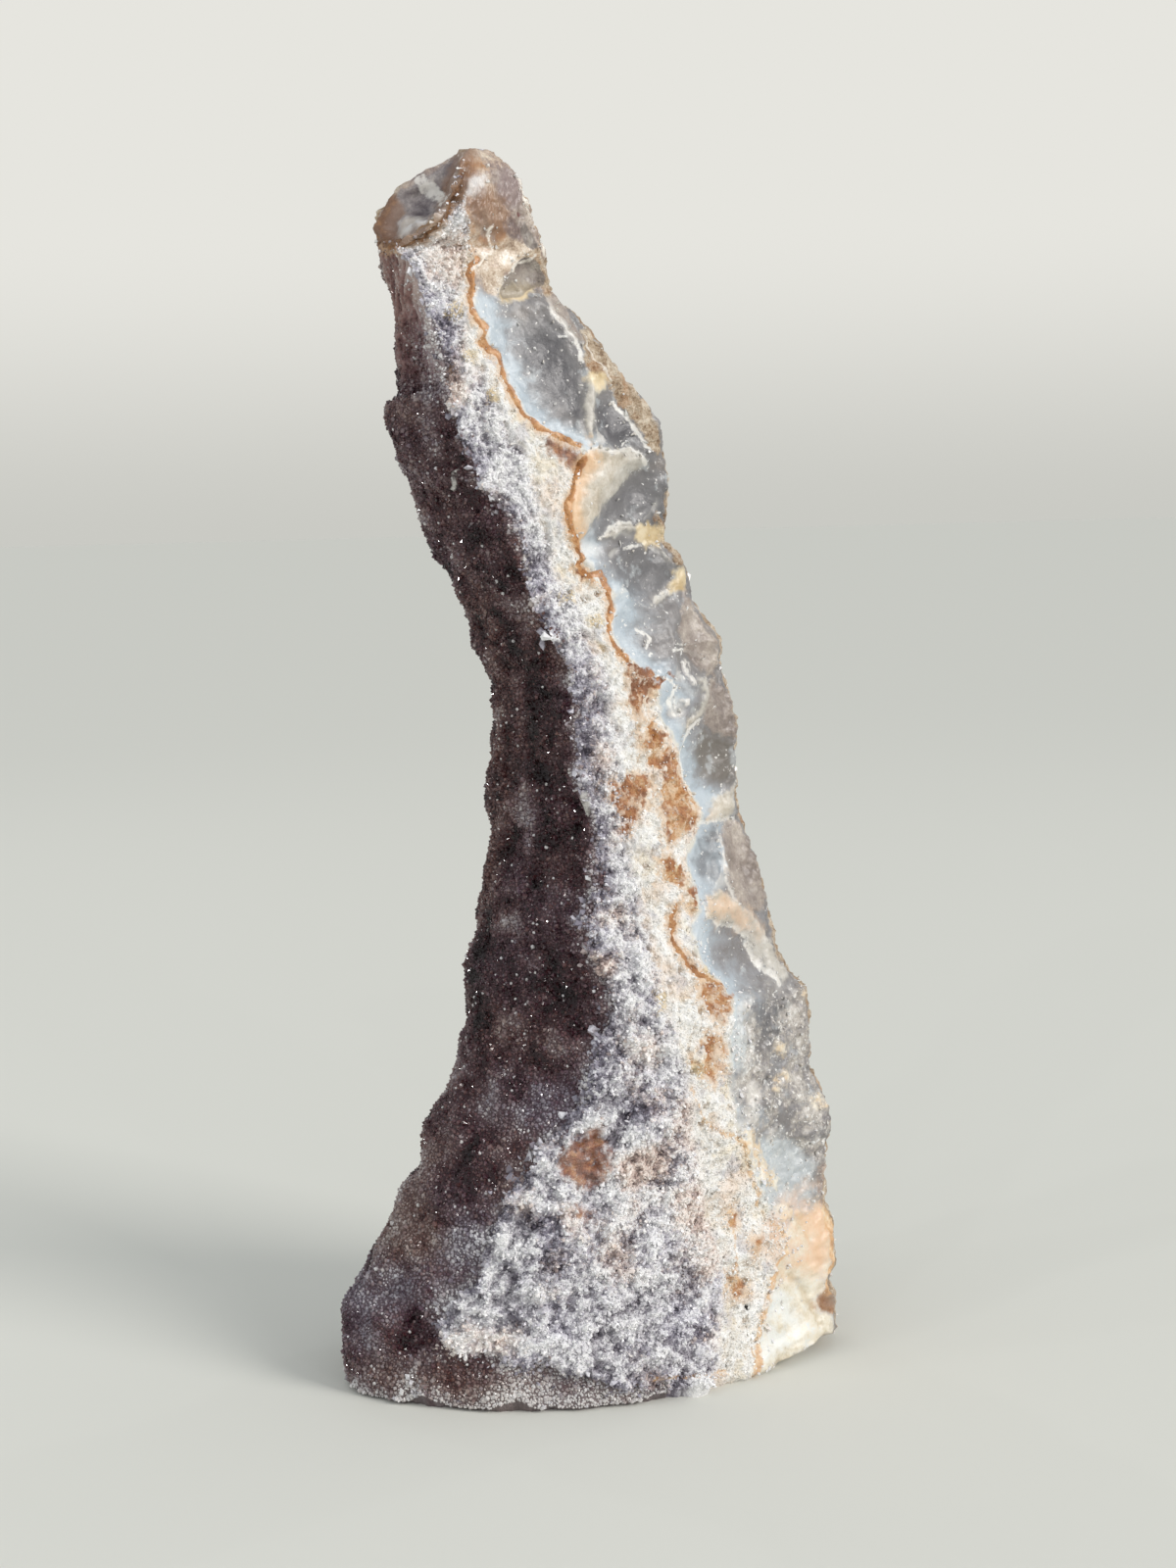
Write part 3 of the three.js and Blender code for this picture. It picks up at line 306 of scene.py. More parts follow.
LINES = {
    'ironline': [
        ([[-23.2,273.2],[-24.9,271.1],[-25.1,269.0],[-24.5,266.6],[-25.0,264.0],[-24.1,261.0],[-23.2,259.1],[-21.4,257.5]], 0.91),
        ([[-23.2,259.1],[-21.4,257.7],[-22.2,254.2],[-20.6,252.1],[-18.4,251.2],[-17.5,248.4],[-16.4,244.9],[-15.3,241.9],[-13.6,237.9],[-12.5,236.1],[-9.5,233.5],[-6.1,231.8],[-3.1,230.4],[0.2,228.8]], 0.72),
        ([[1.5,225.0],[-0.5,221.7],[-2.2,218.5],[-3.2,215.0],[-3.6,211.0],[-2.5,207.5],[-0.9,204.8],[0.4,202.0],[-0.6,199.7],[1.3,197.2],[4.1,197.6],[6.0,194.2],[6.4,191.4],[7.5,189.0],[6.7,186.0],[6.4,182.9],[7.7,180.7],[9.4,178.5],[10.8,177.1]], 0.71),
        ([[20.4,116.1],[19.8,112.7],[19.7,109.2],[21.0,105.6],[22.9,102.6],[25.8,99.8],[28.2,97.6],[32.1,95.8]], 0.55),
        ([[-48.2,280.3],[-45.4,276.7],[-40.8,276.2],[-36.8,277.4],[-32.9,279.9],[-30.0,282.7],[-28.4,286.2],[-26.5,290.5],[-25.1,295.2]], 0.35),
        ([[15.7,161.0],[15.2,159.2],[16.6,157.6]], 0.48),
        ([[21.6,142.0],[22.7,144.3]], 0.48),
    ],
    'rim': [
        ([[-44.7,289.0],[-46.6,286.0],[-48.3,283.0],[-47.2,279.2],[-43.6,277.5],[-39.1,277.3],[-35.5,278.8]], 1.53),
        ([[-32.6,280.5],[-30.0,283.0],[-27.9,286.4],[-26.2,290.2],[-24.9,294.2]], 0.83),
    ],
    'crack': [
        ([[-14.2,293.8],[-12.4,289.6],[-11.1,286.0],[-9.4,282.1],[-7.9,278.4],[-7.2,274.6]], 0.21),
        ([[-28.7,282.3],[-27.1,278.3],[-24.8,276.1]], 0.19),
        ([[-19.3,281.0],[-20.8,277.9],[-19.7,275.0],[-22.3,272.3],[-24.6,270.6]], 0.21),
        ([[-9.6,274.3],[-11.0,272.9],[-13.4,272.3],[-15.3,270.3]], 0.21),
        ([[1.8,255.3],[2.7,252.1],[5.5,248.3],[8.0,244.5]], 0.19),
    ],
    'vein': [
        ([[12.4,4.9],[20.0,4.7],[30.3,2.7]], 0.47),
        ([[23.1,72.6],[25.6,65.6],[28.5,62.1],[32.6,59.6],[35.6,57.6],[36.6,51.3],[38.7,45.4],[39.1,40.9]], 0.36),
        ([[36.9,57.5],[39.4,53.2],[43.4,45.6],[41.3,44.7]], 0.29),
        ([[40.1,39.2],[43.1,35.6],[46.1,31.2],[47.0,27.2],[44.7,22.6],[42.0,17.5]], 0.39),
        ([[40.6,14.9],[39.2,12.1],[38.5,8.3],[38.9,4.5],[37.8,1.0]], 0.77),
        ([[57.7,34.0],[59.5,29.2],[59.5,21.0],[58.5,13.2]], 1.25),
        ([[36.5,7.4],[37.4,4.0],[36.8,1.3]], 0.53),
        ([[45.8,22.8],[42.0,16.5],[39.7,12.0]], 0.24),
        ([[32.0,41.2],[33.8,34.7],[32.1,28.7],[33.4,23.6]], 0.29),
    ],
    'crease': [
        ([[48.9,21.4],[51.0,16.6],[52.4,12.4],[54.6,8.5],[55.3,4.6]], 0.27),
    ],
    'crest': [
        ([[9.1,239.7],[12.6,236.1],[16.1,229.6],[17.0,228.0]], 0.39),
        ([[22.1,178.4],[25.9,178.3],[28.9,176.1],[30.2,175.3]], 0.27),
        ([[23.4,180.2],[27.7,179.4]], 0.22),
        ([[29.8,160.8],[26.3,158.5],[24.7,155.3],[24.1,151.3],[25.3,146.1],[27.2,141.9]], 0.34),
        ([[22.4,169.5],[20.8,165.8],[22.2,162.3]], 0.24),
        ([[33.4,131.1],[33.2,126.4],[34.2,120.5],[36.2,114.6]], 0.32),
        ([[27.9,116.1],[29.0,111.7],[32.1,110.4],[36.7,109.3],[40.6,105.3],[41.7,100.9],[44.1,96.5],[47.6,92.8]], 0.3),
        ([[1.3,226.6],[4.4,227.8],[9.2,226.6],[12.4,228.0],[14.8,226.5],[16.0,224.1]], 0.43),
        ([[-7.2,265.5],[-5.9,260.6],[-2.7,257.5],[-0.4,254.2],[1.2,249.2]], 0.33),
        ([[4.6,206.5],[8.0,209.0],[12.4,209.9]], 0.33),
        ([[11.1,203.5],[16.1,205.2],[19.0,203.9]], 0.22),
        ([[17.5,189.6],[19.6,192.1],[22.2,193.4]], 0.15),
        ([[23.9,135.0],[29.1,135.3],[34.4,134.8],[37.1,134.7]], 0.3),
        ([[-17.6,266.2],[-16.4,269.3],[-13.3,273.0],[-11.7,274.0]], 0.28),
        ([[14.1,184.4],[17.2,181.8],[16.2,179.5]], 0.22),
        ([[18.0,172.3],[20.9,171.1],[22.3,168.5]], 0.22),
    ],
}
CREAM_EDGE = [[0.8,26.8],[15.3,27.8],[26.9,29.3],[38.9,27.2],[51.2,25.0],[63.9,21.7],[75.8,20.8],[87.7,18.7],[97.2,15.8],[108.8,13.3],[120.8,11.2],[132.8,10.3],[144.6,9.4],[156.5,7.8],[166.0,5.7],[175.6,3.6],[185.1,1.0],[194.6,-3.5],[201.8,-6.8],[208.8,-9.0],[218.2,-11.1],[227.5,-14.3],[234.5,-17.6],[241.4,-20.2],[248.4,-24.8],[257.7,-27.4],[264.7,-27.2],[270.3,-26.2],[274.6,-25.3],[278.6,-24.2],[284.1,-24.4],[289.8,-25.6]]
ORANGE_EDGE = [[0.0,38.8],[10.1,40.1],[16.0,41.7],[21.9,44.7],[27.1,47.5],[31.3,47.1],[37.1,44.2],[42.6,40.2],[48.2,38.8],[55.1,36.8],[61.6,34.5],[71.4,32.3],[76.0,33.1],[83.2,32.6],[92.2,34.5],[97.1,31.4],[101.2,27.3],[105.5,24.5],[109.7,24.1],[114.0,26.3],[120.3,24.7],[126.2,24.4],[132.9,26.9],[138.7,27.9],[145.1,25.2],[150.2,23.6],[157.7,20.5],[162.8,17.7],[169.9,17.9],[176.0,12.2],[179.3,8.9],[183.6,6.6],[189.0,7.3],[193.3,6.2],[196.7,2.7],[201.5,0.4],[204.8,-0.9],[209.8,-3.4],[214.5,-3.5],[218.5,-2.2],[225.5,1.5],[228.8,-0.3],[231.8,-6.1],[234.4,-10.7],[237.9,-13.6],[244.9,-16.4],[249.6,-17.7],[252.1,-20.6],[256.6,-21.9],[261.2,-24.3],[267.1,-24.5],[273.7,-24.8],[287.4,-25.4],[298.0,-26.7]]
# The dark crystal strip along the foot of the front face, under the broken quartz.
FOOT_STRIP = [[-39.6, 18.9], [-38.7, 14.0], [-24.1, 11.4], [-12.9, 9.3], [-3.6, 6.6], [5.7, 4.3],
              [15.1, 0.6], [16.6, -3.0], [-13.5, -3.0], [-45.6, -3.0], [-56.0, 7.3], [-46.0, 14.7]]


def smooth(a, b, x):
    t = np.clip((np.asarray(x, float) - a) / (b - a), 0, 1)
    return t * t * (3 - 2 * t)


# ---- noise ----------------------------------------------------------------------------
_rng = np.random.default_rng(20417)
_perm = np.concatenate([_rng.permutation(256)] * 3)
_grad = _rng.normal(size=(256, 3))
_grad /= np.linalg.norm(_grad, axis=1, keepdims=True)


def perlin(p):
    """Gradient noise at points (n, 3), about -0.7 to 0.7."""
    i = np.floor(p).astype(np.int64)
    f = p - i
    i &= 255
    u = f * f * f * (f * (f * 6 - 15) + 10)
    out = np.zeros(len(p))
    for dx in (0, 1):
        wx = u[:, 0] if dx else 1 - u[:, 0]
        for dy in (0, 1):
            wy = u[:, 1] if dy else 1 - u[:, 1]
            for dz in (0, 1):
                wz = u[:, 2] if dz else 1 - u[:, 2]
                h = _perm[_perm[_perm[i[:, 0] + dx] + i[:, 1] + dy] + ((i[:, 2] + dz) & 255)]
                out += wx * wy * wz * ((f - (dx, dy, dz)) * _grad[h]).sum(1)
    return out


def fbm(p, wavelength, octaves=3, gain=0.5, seed=0):
    q = p / wavelength + seed * 17.31
    total, amp = np.zeros(len(p)), 1.0
    for _ in range(octaves):
        total += amp * perlin(q)
        q = q * 2.03 + 11.7
        amp *= gain
    return total


def ridged(p, wavelength, octaves=2, gain=0.5, seed=0, sharp=2.4):
    """Noise with sharp crests between rounded hollows, 0 to 1."""
    q = p / wavelength + seed * 13.7
    total, amp, norm = np.zeros(len(p)), 1.0, 0.0
    for _ in range(octaves):
        total += amp * (1 - np.minimum(1, sharp * np.abs(perlin(q)))) ** 2
        norm += amp
        q = q * 2.07 + 5.3
        amp *= gain
    return total / norm


def cells(p, size, seed=0):
    """Distance to the nearest and second nearest feature point, in cells, and the nearest's own random value."""
    q = p / size + seed * 9.17
    base = np.floor(q).astype(np.int64)
    best = np.full(len(p), 9.0)
    second = np.full(len(p), 9.0)
    value = np.zeros(len(p))
    for dx in (-1, 0, 1):
        for dy in (-1, 0, 1):
            for dz in (-1, 0, 1):
                c = (base + (dx, dy, dz)) & 255
                h = _perm[_perm[_perm[c[:, 0]] + c[:, 1]] + c[:, 2]]
                j = np.stack([_perm[h + 1], _perm[h + 7], _perm[h + 31]], 1) / 255.0
                d = np.linalg.norm(base + (dx, dy, dz) + 0.15 + 0.7 * j - q, axis=1)
                nearer = d < best
                second = np.where(nearer, best, np.minimum(second, d))
                value = np.where(nearer, _perm[h + 3] / 255.0, value)
                best = np.where(nearer, d, best)
    return best, second, value


# ---- distances in front elevation -----------------------------------------------------
def segment_distance(x, z, pts, closed):
    best = np.full(x.shape, 1e9)
    n = len(pts)
    for k in range(n if closed else n - 1):
        ax, az = pts[k]
        bx, bz = pts[(k + 1) % n]
        ux, uz = bx - ax, bz - az
        t = np.clip(((x - ax) * ux + (z - az) * uz) / (ux * ux + uz * uz + 1e-9), 0, 1)
        best = np.minimum(best, (x - ax - t * ux) ** 2 + (z - az - t * uz) ** 2)
    return np.sqrt(best)


def inside(x, z, poly):
    hit = np.zeros(x.shape, bool)
    n = len(poly)
    for k in range(n):
        ax, az = poly[k]
        bx, bz = poly[(k + 1) % n]
        if az == bz:
            continue
        cross = ((az > z) != (bz > z)) & (x < (bx - ax) * (z - az) / (bz - az) + ax)
        hit ^= cross
    return hit


FAR = -6.0


def class_field(x, z, polys=(), lines=()):
    """Largest signed distance, in mm, into any of the shapes; FAR where none is near."""
    field = np.full(x.shape, FAR)
    for poly in polys:
        a = np.array(poly)
        near = (x > a[:, 0].min() - 6) & (x < a[:, 0].max() + 6) & (z > a[:, 1].min() - 6) & (z < a[:, 1].max() + 6)
        if near.any():
            xs, zs = x[near], z[near]
            d = segment_distance(xs, zs, poly, True)
            field[near] = np.maximum(field[near], np.where(inside(xs, zs, poly), d, -d))
    for pts, half in lines:
        a = np.array(pts)
        near = (x > a[:, 0].min() - 6) & (x < a[:, 0].max() + 6) & (z > a[:, 1].min() - 6) & (z < a[:, 1].max() + 6)
        if near.any():
            d = segment_distance(x[near], z[near], pts, False)
            field[near] = np.maximum(field[near], half - d)
    return np.clip(field, FAR, 6)


# ---- the loft -------------------------------------------------------------------------
# front face, rind edge, rind, back in two parts, back of the druse, druse in two parts
COLUMNS = [166, 6, 12, 34, 30, 12, 16, 14]
ROWS = 560


def table(z, column):
    return np.interp(z, STATIONS[:, 0], STATIONS[:, column])


def slow(z, column):
    r = np.minimum(4.5, 0.175 * (TOTAL_HEIGHT - z))
    return sum(table(z + k * r, column) for k in range(-2, 3)) / 5


def wander(z, phase):
    fade = smooth(0, 10, z) * (1 - smooth(268, 294, z))
    return fade * (1.9 * np.sin(0.083 * z + phase) + 1.0 * np.sin(0.197 * z + 2.3 * phase + 1)
                   + 0.55 * np.sin(0.43 * z + 3.1 * phase + 2))


def catmull(p0, p1, p2, p3, t):
    return 0.5 * (2 * p1 + (p2 - p0) * t + (2 * p0 - 5 * p1 + 4 * p2 - p3) * t ** 2
                  + (3 * p1 - p0 - 3 * p2 + p3) * t ** 3)


def outlines(z):
    """Outlines at heights z: points (n, m, 3), and per column the segment (-1 front) and its fraction."""
    xL, yL, xR, yR, xC, yC, bulge, back_y = [table(z, c)[:, None] for c in range(1, 9)]
    xLs, yLs, xCs, yCs = [slow(z, c)[:, None] for c in (1, 2, 5, 6)]
    w = lambda phase: wander(z, phase)[:, None]
    width = xCs - xLs
    yk = np.maximum(back_y, yCs + 0.5)
    pair = lambda a, b: np.concatenate([a, b], 1)
    ridge, left, edge = pair(xR, yR), pair(xL, yL), pair(xC, yC)
    rind_edge = pair(xC - 0.01 * width + 0.2 * w(5.0), yC + 0.38 * (yk - yC))
    rind_back = pair(xCs - 0.16 * width + 0.8 * w(3.1), yCs + 0.78 * (yk - yCs) + 0.8 * w(4.2))
    back = pair(xLs + 0.56 * width + 0.8 * w(0.5), yk + w(1.7))
    druse_back = pair(xLs + 0.10 * width + 0.5 * w(2.6), yLs + 0.62 * (yk - yLs) + 0.9 * w(0.9))
    t = ridge - left
    length = np.linalg.norm(t, axis=1, keepdims=True) + 1e-6
    n = np.stack([t[:, 1], -t[:, 0]], 1) / length
    n *= np.where(n.sum(1) > 0, -1, 1)[:, None]
    swell = np.minimum(np.interp(z, DRUSE_SWELL[:, 0], DRUSE_SWELL[:, 1])[:, None], 0.25 * length)
    druse = 0.5 * (left + ridge) + n * swell

    f = np.arange(COLUMNS[0]) / COLUMNS[0]
    front = ridge[:, None] + (edge - ridge)[:, None] * f[None, :, None]
    front[:, :, 1] -= 4 * bulge * (f * (1 - f))[None]
    parts, seg, frac = [front], [np.full(COLUMNS[0], -1)], [f]
    knots = [edge + 0.5 * (edge - rind_edge), edge, rind_edge, rind_back, back, druse_back, left,
             druse, ridge, ridge + 0.5 * (ridge - druse)]
    for k in range(7):
        m = COLUMNS[k + 1]
        tt = (np.arange(m) / m)[None, :, None]
        parts.append(catmull(*[knots[k + j][:, None] for j in range(4)], tt))
        seg.append(np.full(m, k))
        frac.append(np.arange(m) / m)
    xy = np.concatenate(parts, 1)
    zz = np.broadcast_to(z[:, None, None], xy.shape[:2] + (1,))
    return np.concatenate([xy, zz], 2), np.concatenate(seg), np.concatenate(frac)


def grid_normals(P):
    along = np.roll(P, -1, 1) - np.roll(P, 1, 1)
    up = np.empty_like(P)
    up[1:-1] = P[2:] - P[:-2]
    up[0], up[-1] = P[1] - P[0], P[-1] - P[-2]
    n = np.cross(along, up)
    return n / (np.linalg.norm(n, axis=2, keepdims=True) + 1e-12)


def lumps(p):
    x, y, z = p.T
    return (0.40 * np.sin(0.31 * x + 0.17 * y + 0.23 * z + 0.7)
            + 0.35 * np.sin(-0.22 * x + 0.36 * y + 0.29 * z + 2.1)
            + 0.30 * np.sin(0.27 * x - 0.33 * y + 0.41 * z + 4.0)
            + 0.25 * np.sin(0.44 * x + 0.38 * y - 0.35 * z + 5.2))


def flake_depth(flakes, x, z):
    """Depth of the deepest flake, and how much deeper it is than the next."""
    first, second = np.zeros(x.shape), np.zeros(x.shape)
    for cx, cz, a, b, turn, d in flakes:
        r = max(a, b) + 1
        near = (np.abs(x - cx) < r) & (np.abs(z - cz) < r)
        if not near.any():
            continue
        c, s = math.cos(math.radians(turn)), math.sin(math.radians(turn))
        xs, zs = x[near] - cx, z[near] - cz
        h = np.maximum(d * (1 - ((xs * c + zs * s) / a) ** 2 - ((-xs * s + zs * c) / b) ** 2), 0)
        f, g = first[near], second[near]
        second[near] = np.maximum(g, np.minimum(f, h))
        first[near] = np.maximum(f, h)
    return first, first - second


# Rows, evenly spaced from the foot to the tip.
zs = np.linspace(FOOT_RISE, 299.5, ROWS)
P, seg, frac = outlines(zs)
n_rows, n_cols = P.shape[:2]
N = grid_normals(P)
flat = P.reshape(-1, 3)
S = np.broadcast_to(seg, (n_rows, n_cols)).ravel()
T = np.broadcast_to(frac, (n_rows, n_cols)).ravel()
X, Y, Z = flat.T
front = S == -1
facing = smooth(0.25, -0.15, N.reshape(-1, 3)[:, 1]) * np.isin(S, (-1, 0, 5, 6))

# distance walked round each outline, for fields that the front features don't give
step = np.linalg.norm(np.roll(P, -1, 1) - P, axis=2)
walked = np.concatenate([np.zeros((n_rows, 1)), np.cumsum(step, 1)], 1)
first_col = np.cumsum([0] + COLUMNS)
s_edge, s_rind_back, s_druse_back, s_all = (walked[:, first_col[k]][:, None] for k in (1, 3, 5, 8))
s_here = walked[:, :-1]
to_ridge = s_here                                   # grows from the ridge over the front face
back_width = s_druse_back - s_rind_back
from_druse_back = s_druse_back - s_here             # grows from the druse over the back face
wob = lambda w, seed: fbm(flat, w, 3, 0.5, seed).reshape(n_rows, n_cols)

# f_quartz: mm into the broken quartz from the edge of the druse (negative on the druse)
f_quartz = np.where(s_here < s_edge, to_ridge, np.where(s_here < s_druse_back, from_druse_back,
                    -np.minimum(s_here - s_druse_back, s_all - s_here)))
rind_cols = np.isin(np.broadcast_to(seg, P.shape[:2]), (0, 1))
f_quartz = np.where(rind_cols, 30.0, f_quartz)
strip = class_field(X, Z, [FOOT_STRIP]).reshape(n_rows, n_cols)
f_quartz = np.where(front.reshape(n_rows, n_cols), np.minimum(f_quartz, -strip), f_quartz)
f_quartz = f_quartz + (4.0 * wob(11.0, 1) + 2.6 * wob(3.6, 41)) * (1 - 0.55 * smooth(238, 248, P[:, :, 2]))
f_quartz = np.where((P[:, :, 2] < 9) & (P[:, :, 0] < -22), np.minimum(f_quartz, -1.5), f_quartz)

cream_x = np.interp(zs, *np.array(CREAM_EDGE).T)[:, None]
orange_x = np.interp(zs, *np.array(ORANGE_EDGE).T)[:, None]
front2 = front.reshape(n_rows, n_cols)
back_shift = 5 * np.sin(0.045 * zs + 0.6)[:, None] + 2.0 * np.sin(0.17 * zs)[:, None]
f_cream = np.where(front2, P[:, :, 0] - cream_x, from_druse_back - 0.36 * back_width - back_shift)
f_orange = np.where(front2, P[:, :, 0] - orange_x, from_druse_back - 0.55 * back_width - back_shift)
on_druse = np.isin(np.broadcast_to(seg, P.shape[:2]), (4, 5, 6))
f_cream = np.where(on_druse, -20, np.where(rind_cols, 25, f_cream))
f_orange = np.where(on_druse, -20, np.where(rind_cols, 20, f_orange))
# f_rind: mm into the rough outer skin
f_rind = np.minimum(s_here - s_edge - 1.5 - 1.5 * np.sin(0.11 * zs)[:, None], s_rind_back + 3.0 - s_here)
f_rind = np.where(on_druse, -6, f_rind) + 2.2 * wob(7.0, 2)
f_rind = f_rind + 6.0 * fbm(flat, 13.0, 2, 0.5, 58).reshape(f_rind.shape) * smooth(0, 4, s_here - s_edge) * smooth(12, 7, s_here - s_edge)

# Mapped features get ragged outlines by reading them at slightly displaced points.
WARP = {"iron": 0.8, "rust": 1.5, "gold": 1.2, "cchip": 0.6, "taupe": 0.8, "peach": 1.2, "chunk": 1.2, "dark": 1.6,
        "milk_and_highlight": 0.6, "kcream": 0.9, "plum": 1.0, "pocket": 0.5, "brown": 1.0, "chips": 0.5, "rind": 1.1,
        "smoke": 0.5, "olive": 0.7, "amber": 1.2, "islands": 1.0, "mist": 1.6, "veil": 1.8,
        "smoky": 0.8, "frost": 1.6}
LINE_WARP = {"ironline": 0.62, "rim": 0.6, "crack": 0.5, "vein": 0.7, "crease": 0.5, "crest": 0.5}
warp_x = 1.5 * fbm(flat, 6.0, 2, 0.5, 51) + 1.1 * fbm(flat, 2.2, 2, 0.5, 52)
warp_z = 1.5 * fbm(flat, 6.0, 2, 0.5, 53) + 1.1 * fbm(flat, 2.2, 2, 0.5, 54)
fields = {}
seen = facing > 0.02
# features run out as the broken edge turns away to the side
turned = (S == 0) * smooth(0.12, 0.62, T + 0.5 * fbm(flat, 7.0, 2, 0.5, 59))


def mapped(shift, polys=(), lines=()):
    """A feature's field on the parts of the stone that face the front, FAR elsewhere."""
    out = np.full(X.shape, FAR)
    out[seen] = class_field((X + shift * warp_x)[seen], (Z + shift * warp_z)[seen], polys, lines)
    return out - 9.0 * turned


for name in POLYS:
    fields[name] = mapped(WARP[name], POLYS[name])
for name in LINES:
    fields[name] = mapped(LINE_WARP[name], (), LINES[name])
# the knob at the tip is chalcedony and rind all round, with no druse on it
tip_wave = 1.3 * warp_z + 3.4 * fbm(flat, 11.0, 2, 0.5, 57) * np.isin(S, (3, 4, 5))
knob = smooth(276.5, 279.5, Z + tip_wave)
on_druse_side = np.isin(S, (4, 5, 6)) | (front & (X < -31))
fields["knob"] = np.where(Z > 255, Z - 278 + warp_z, -30)
fields["quartz"] = np.where(knob > 0.5, np.maximum(f_quartz.ravel(), 3.0), f_quartz.ravel())
fields["cream"] = f_cream.ravel() + 2.6 * fbm(flat, 9.0, 2, 0.5, 55)
fields["orange"] = f_orange.ravel() + 0.60 * warp_x * front
fields["orange"] = np.where((knob > 0.5) & on_druse_side & (fields["pocket"] + 0.5 * warp_x > -1.6) | (knob > 0.5) & np.isin(S, (4, 5)),
                            2.0, fields["orange"])
fields["skin"] = np.maximum(f_rind.ravel(), fields["rind"])
fields["skin"] = np.where((knob > 0.5) & np.isin(S, (4, 5, 6)), np.minimum(Z + tip_wave - 279, 1.5) + 1.5 * warp_x, fields["skin"])
fields["skin"] = np.where(fields["pocket"] > -0.6, FAR, fields["skin"])

# Patches of tint: x, z, half width, half height, turn, then how much paler and warmer (druse)
DRUSE_TINTS = [
    # The long patch at x -49.5, z 43, along the left edge of the druse, is made paler as painted back light on the rim.
    (-15.0, 185.0, 14.0, 30.0, 0, -0.04, 0.1), (-14.0, 140.0, 10.0, 26.0, 0, -0.06, 0.1), (-49.5, 43.0, 5.0, 18.0, -28, 0.46, 0.15),
    (-11.5, 70.2, 8.0, 6.0, 20, 0.48, -0.6), (-32.8, 38.5, 10.0, 7.0, 35, 0.62, -0.6),
    (-48.9, 25.8, 8.0, 6.0, 30, 0.46, -0.6), (-59.0, 19.1, 5.0, 9.0, 10, 0.34, -0.5),
    (-44.0, 38.2, 8.0, 6.0, 30, 0.04, 0.9), (-8.8, 119.7, 8.0, 7.0, 0, 0.20, -0.4),
    (-27.0, 128.0, 5.5, 14.0, 8, 0.16, 0.5), (-23.2, 160.0, 4.0, 22.0, 0, 0.10, 0.5),
    (-41.2, 54.9, 5.0, 13.0, -30, 0.12, 0.5), (-20.9, 86.4, 8.0, 7.0, 0, 0.05, 0.4),
    (-38.0, 222.0, 9.0, 8.0, 10, 0.16, -0.1), (-44.0, 238.0, 12.0, 4.0, 0, 0.20, 0.3),
    (-35.5, 250.0, 7.0, 9.0, 0, 0.14, -0.2), (-45.0, 266.0, 4.5, 12.0, 0, 0.12, 0.4), (-38.0, 268.0, 5.0, 9.0, -10, 0.14, 0.3),
    (-52.0, 6.0, 14.0, 4.5, 0, 0.16, 0.4), (-22.0, 4.0, 26.0, 5.0, 0, 0.24, 0.3),
    (-30.0, 200.0, 5.0, 10.0, 15, 0.08, 0.2)]
# and for the white quartz: how much greyer, rosier and more lavender
QUARTZ_TINTS = [
    (-33.0, 282.0, 6.0, 8.0, 0, -0.50, 0.5, 0.0), (-36.0, 264.0, 7.0, 16.0, 0, -0.20, 0.15, 0.1), (-28.0, 272.0, 4.5, 6.0, 0, 0.12, 0.8, -0.3), (26.0, 60.0, 6.0, 22.0, 0, -0.14, 0.25, 0.0), (27.0, 28.0, 5.0, 18.0, 0, -0.12, 0.2, 0.0),
    (-31.5, 15.4, 11.0, 4.5, 12, -0.30, 0.20, 0.0), (9.4, 54.8, 6.0, 5.0, 0, -0.05, 0.8, -0.3),
    (-12.1, 40.0, 7.0, 9.0, 10, 0.22, -0.1, 0.5), (-1.8, 77.3, 8.0, 8.0, 0, 0.20, 0.0, 0.3),
    (9.8, 70.0, 8.0, 6.0, 0, 0.08, 0.0, 0.4), (20.4, 16.9, 10.0, 8.0, 0, 0.12, 0.1, 0.6),
    (-10.0, 22.0, 9.0, 6.0, 0, 0.10, -0.1, 0.4), (6.0, 30.0, 8.0, 9.0, 20, 0.06, 0.25, 0.2),
    (22.0, 44.0, 9.0, 9.0, 0, 0.04, 0.3, 0.2), (0.0, 104.0, 5.0, 6.0, 0, 0.02, 0.5, 0.0),
    (-9.0, 196.0, 3.0, 9.0, 0, 0.16, 0.0, 0.5), (2.0, 163.0, 4.0, 12.0, 0, 0.22, 0.15, 0.3),
    (-34.0, 251.0, 5.0, 9.0, 0, 0.42, 0.1, 0.5), (5.0, 127.0, 6.0, 12.0, 0, -0.10, 0.0, 0.0), (-31.0, 243.5, 4.0, 4.0, 0, -0.1, 0.9, -0.2),
    (-23.0, 247.0, 4.0, 4.0, 0, 0.15, 0.0, 0.4), (12.0, 90.0, 8.0, 10.0, 0, -0.22, 0.1, 0.2)]


def tints(table_, x, z, count):
    """Sums of soft elliptical patches at x, z."""
    out = np.zeros((count,) + x.shape)
    for cx, cz, a, b, turn, *amounts in table_:
        c_, s_ = math.cos(math.radians(turn)), math.sin(math.radians(turn))
        u, v = x - cx, z - cz
        r2 = ((u * c_ + v * s_) / a) ** 2 + ((-u * s_ + v * c_) / b) ** 2
        w_ = np.exp(-1.1 * r2)
        for k_, amount in enumerate(amounts):
            out[k_] += amount * w_
    return out


# ---- relief ---------------------------------------------------------------------------
fields["deep"] = fields["dark"] - 0.5 - 3.5 * smooth(232, 222, Z)
fields["rust"] = fields["rust"] - 0.8 * smooth(205, 212, Z)
iron_lumps = smooth(0.08, 0.25, fbm(flat, 4.0, 2, 0.5, 71))
fields["iron"] = fields["iron"] - 0.20 * smooth(152, 142, Z) - 1.9 * iron_lumps * smooth(52, 66, Z)
spot = lambda x, z, r: np.exp(-((X - x) ** 2 + (Z - z) ** 2) / r ** 2)
fields["lift"] = 0.03 * smooth(148, 120, Z) - 0.11 * smooth(150, 165, Z) - 0.07 * spot(9, 143, 7) + 0.05 * spot(21, 142, 6)
fields["dark"] = fields["dark"] + 2.2 * smooth(176, 196, Z) - 1.0 * smooth(176, 160, Z)
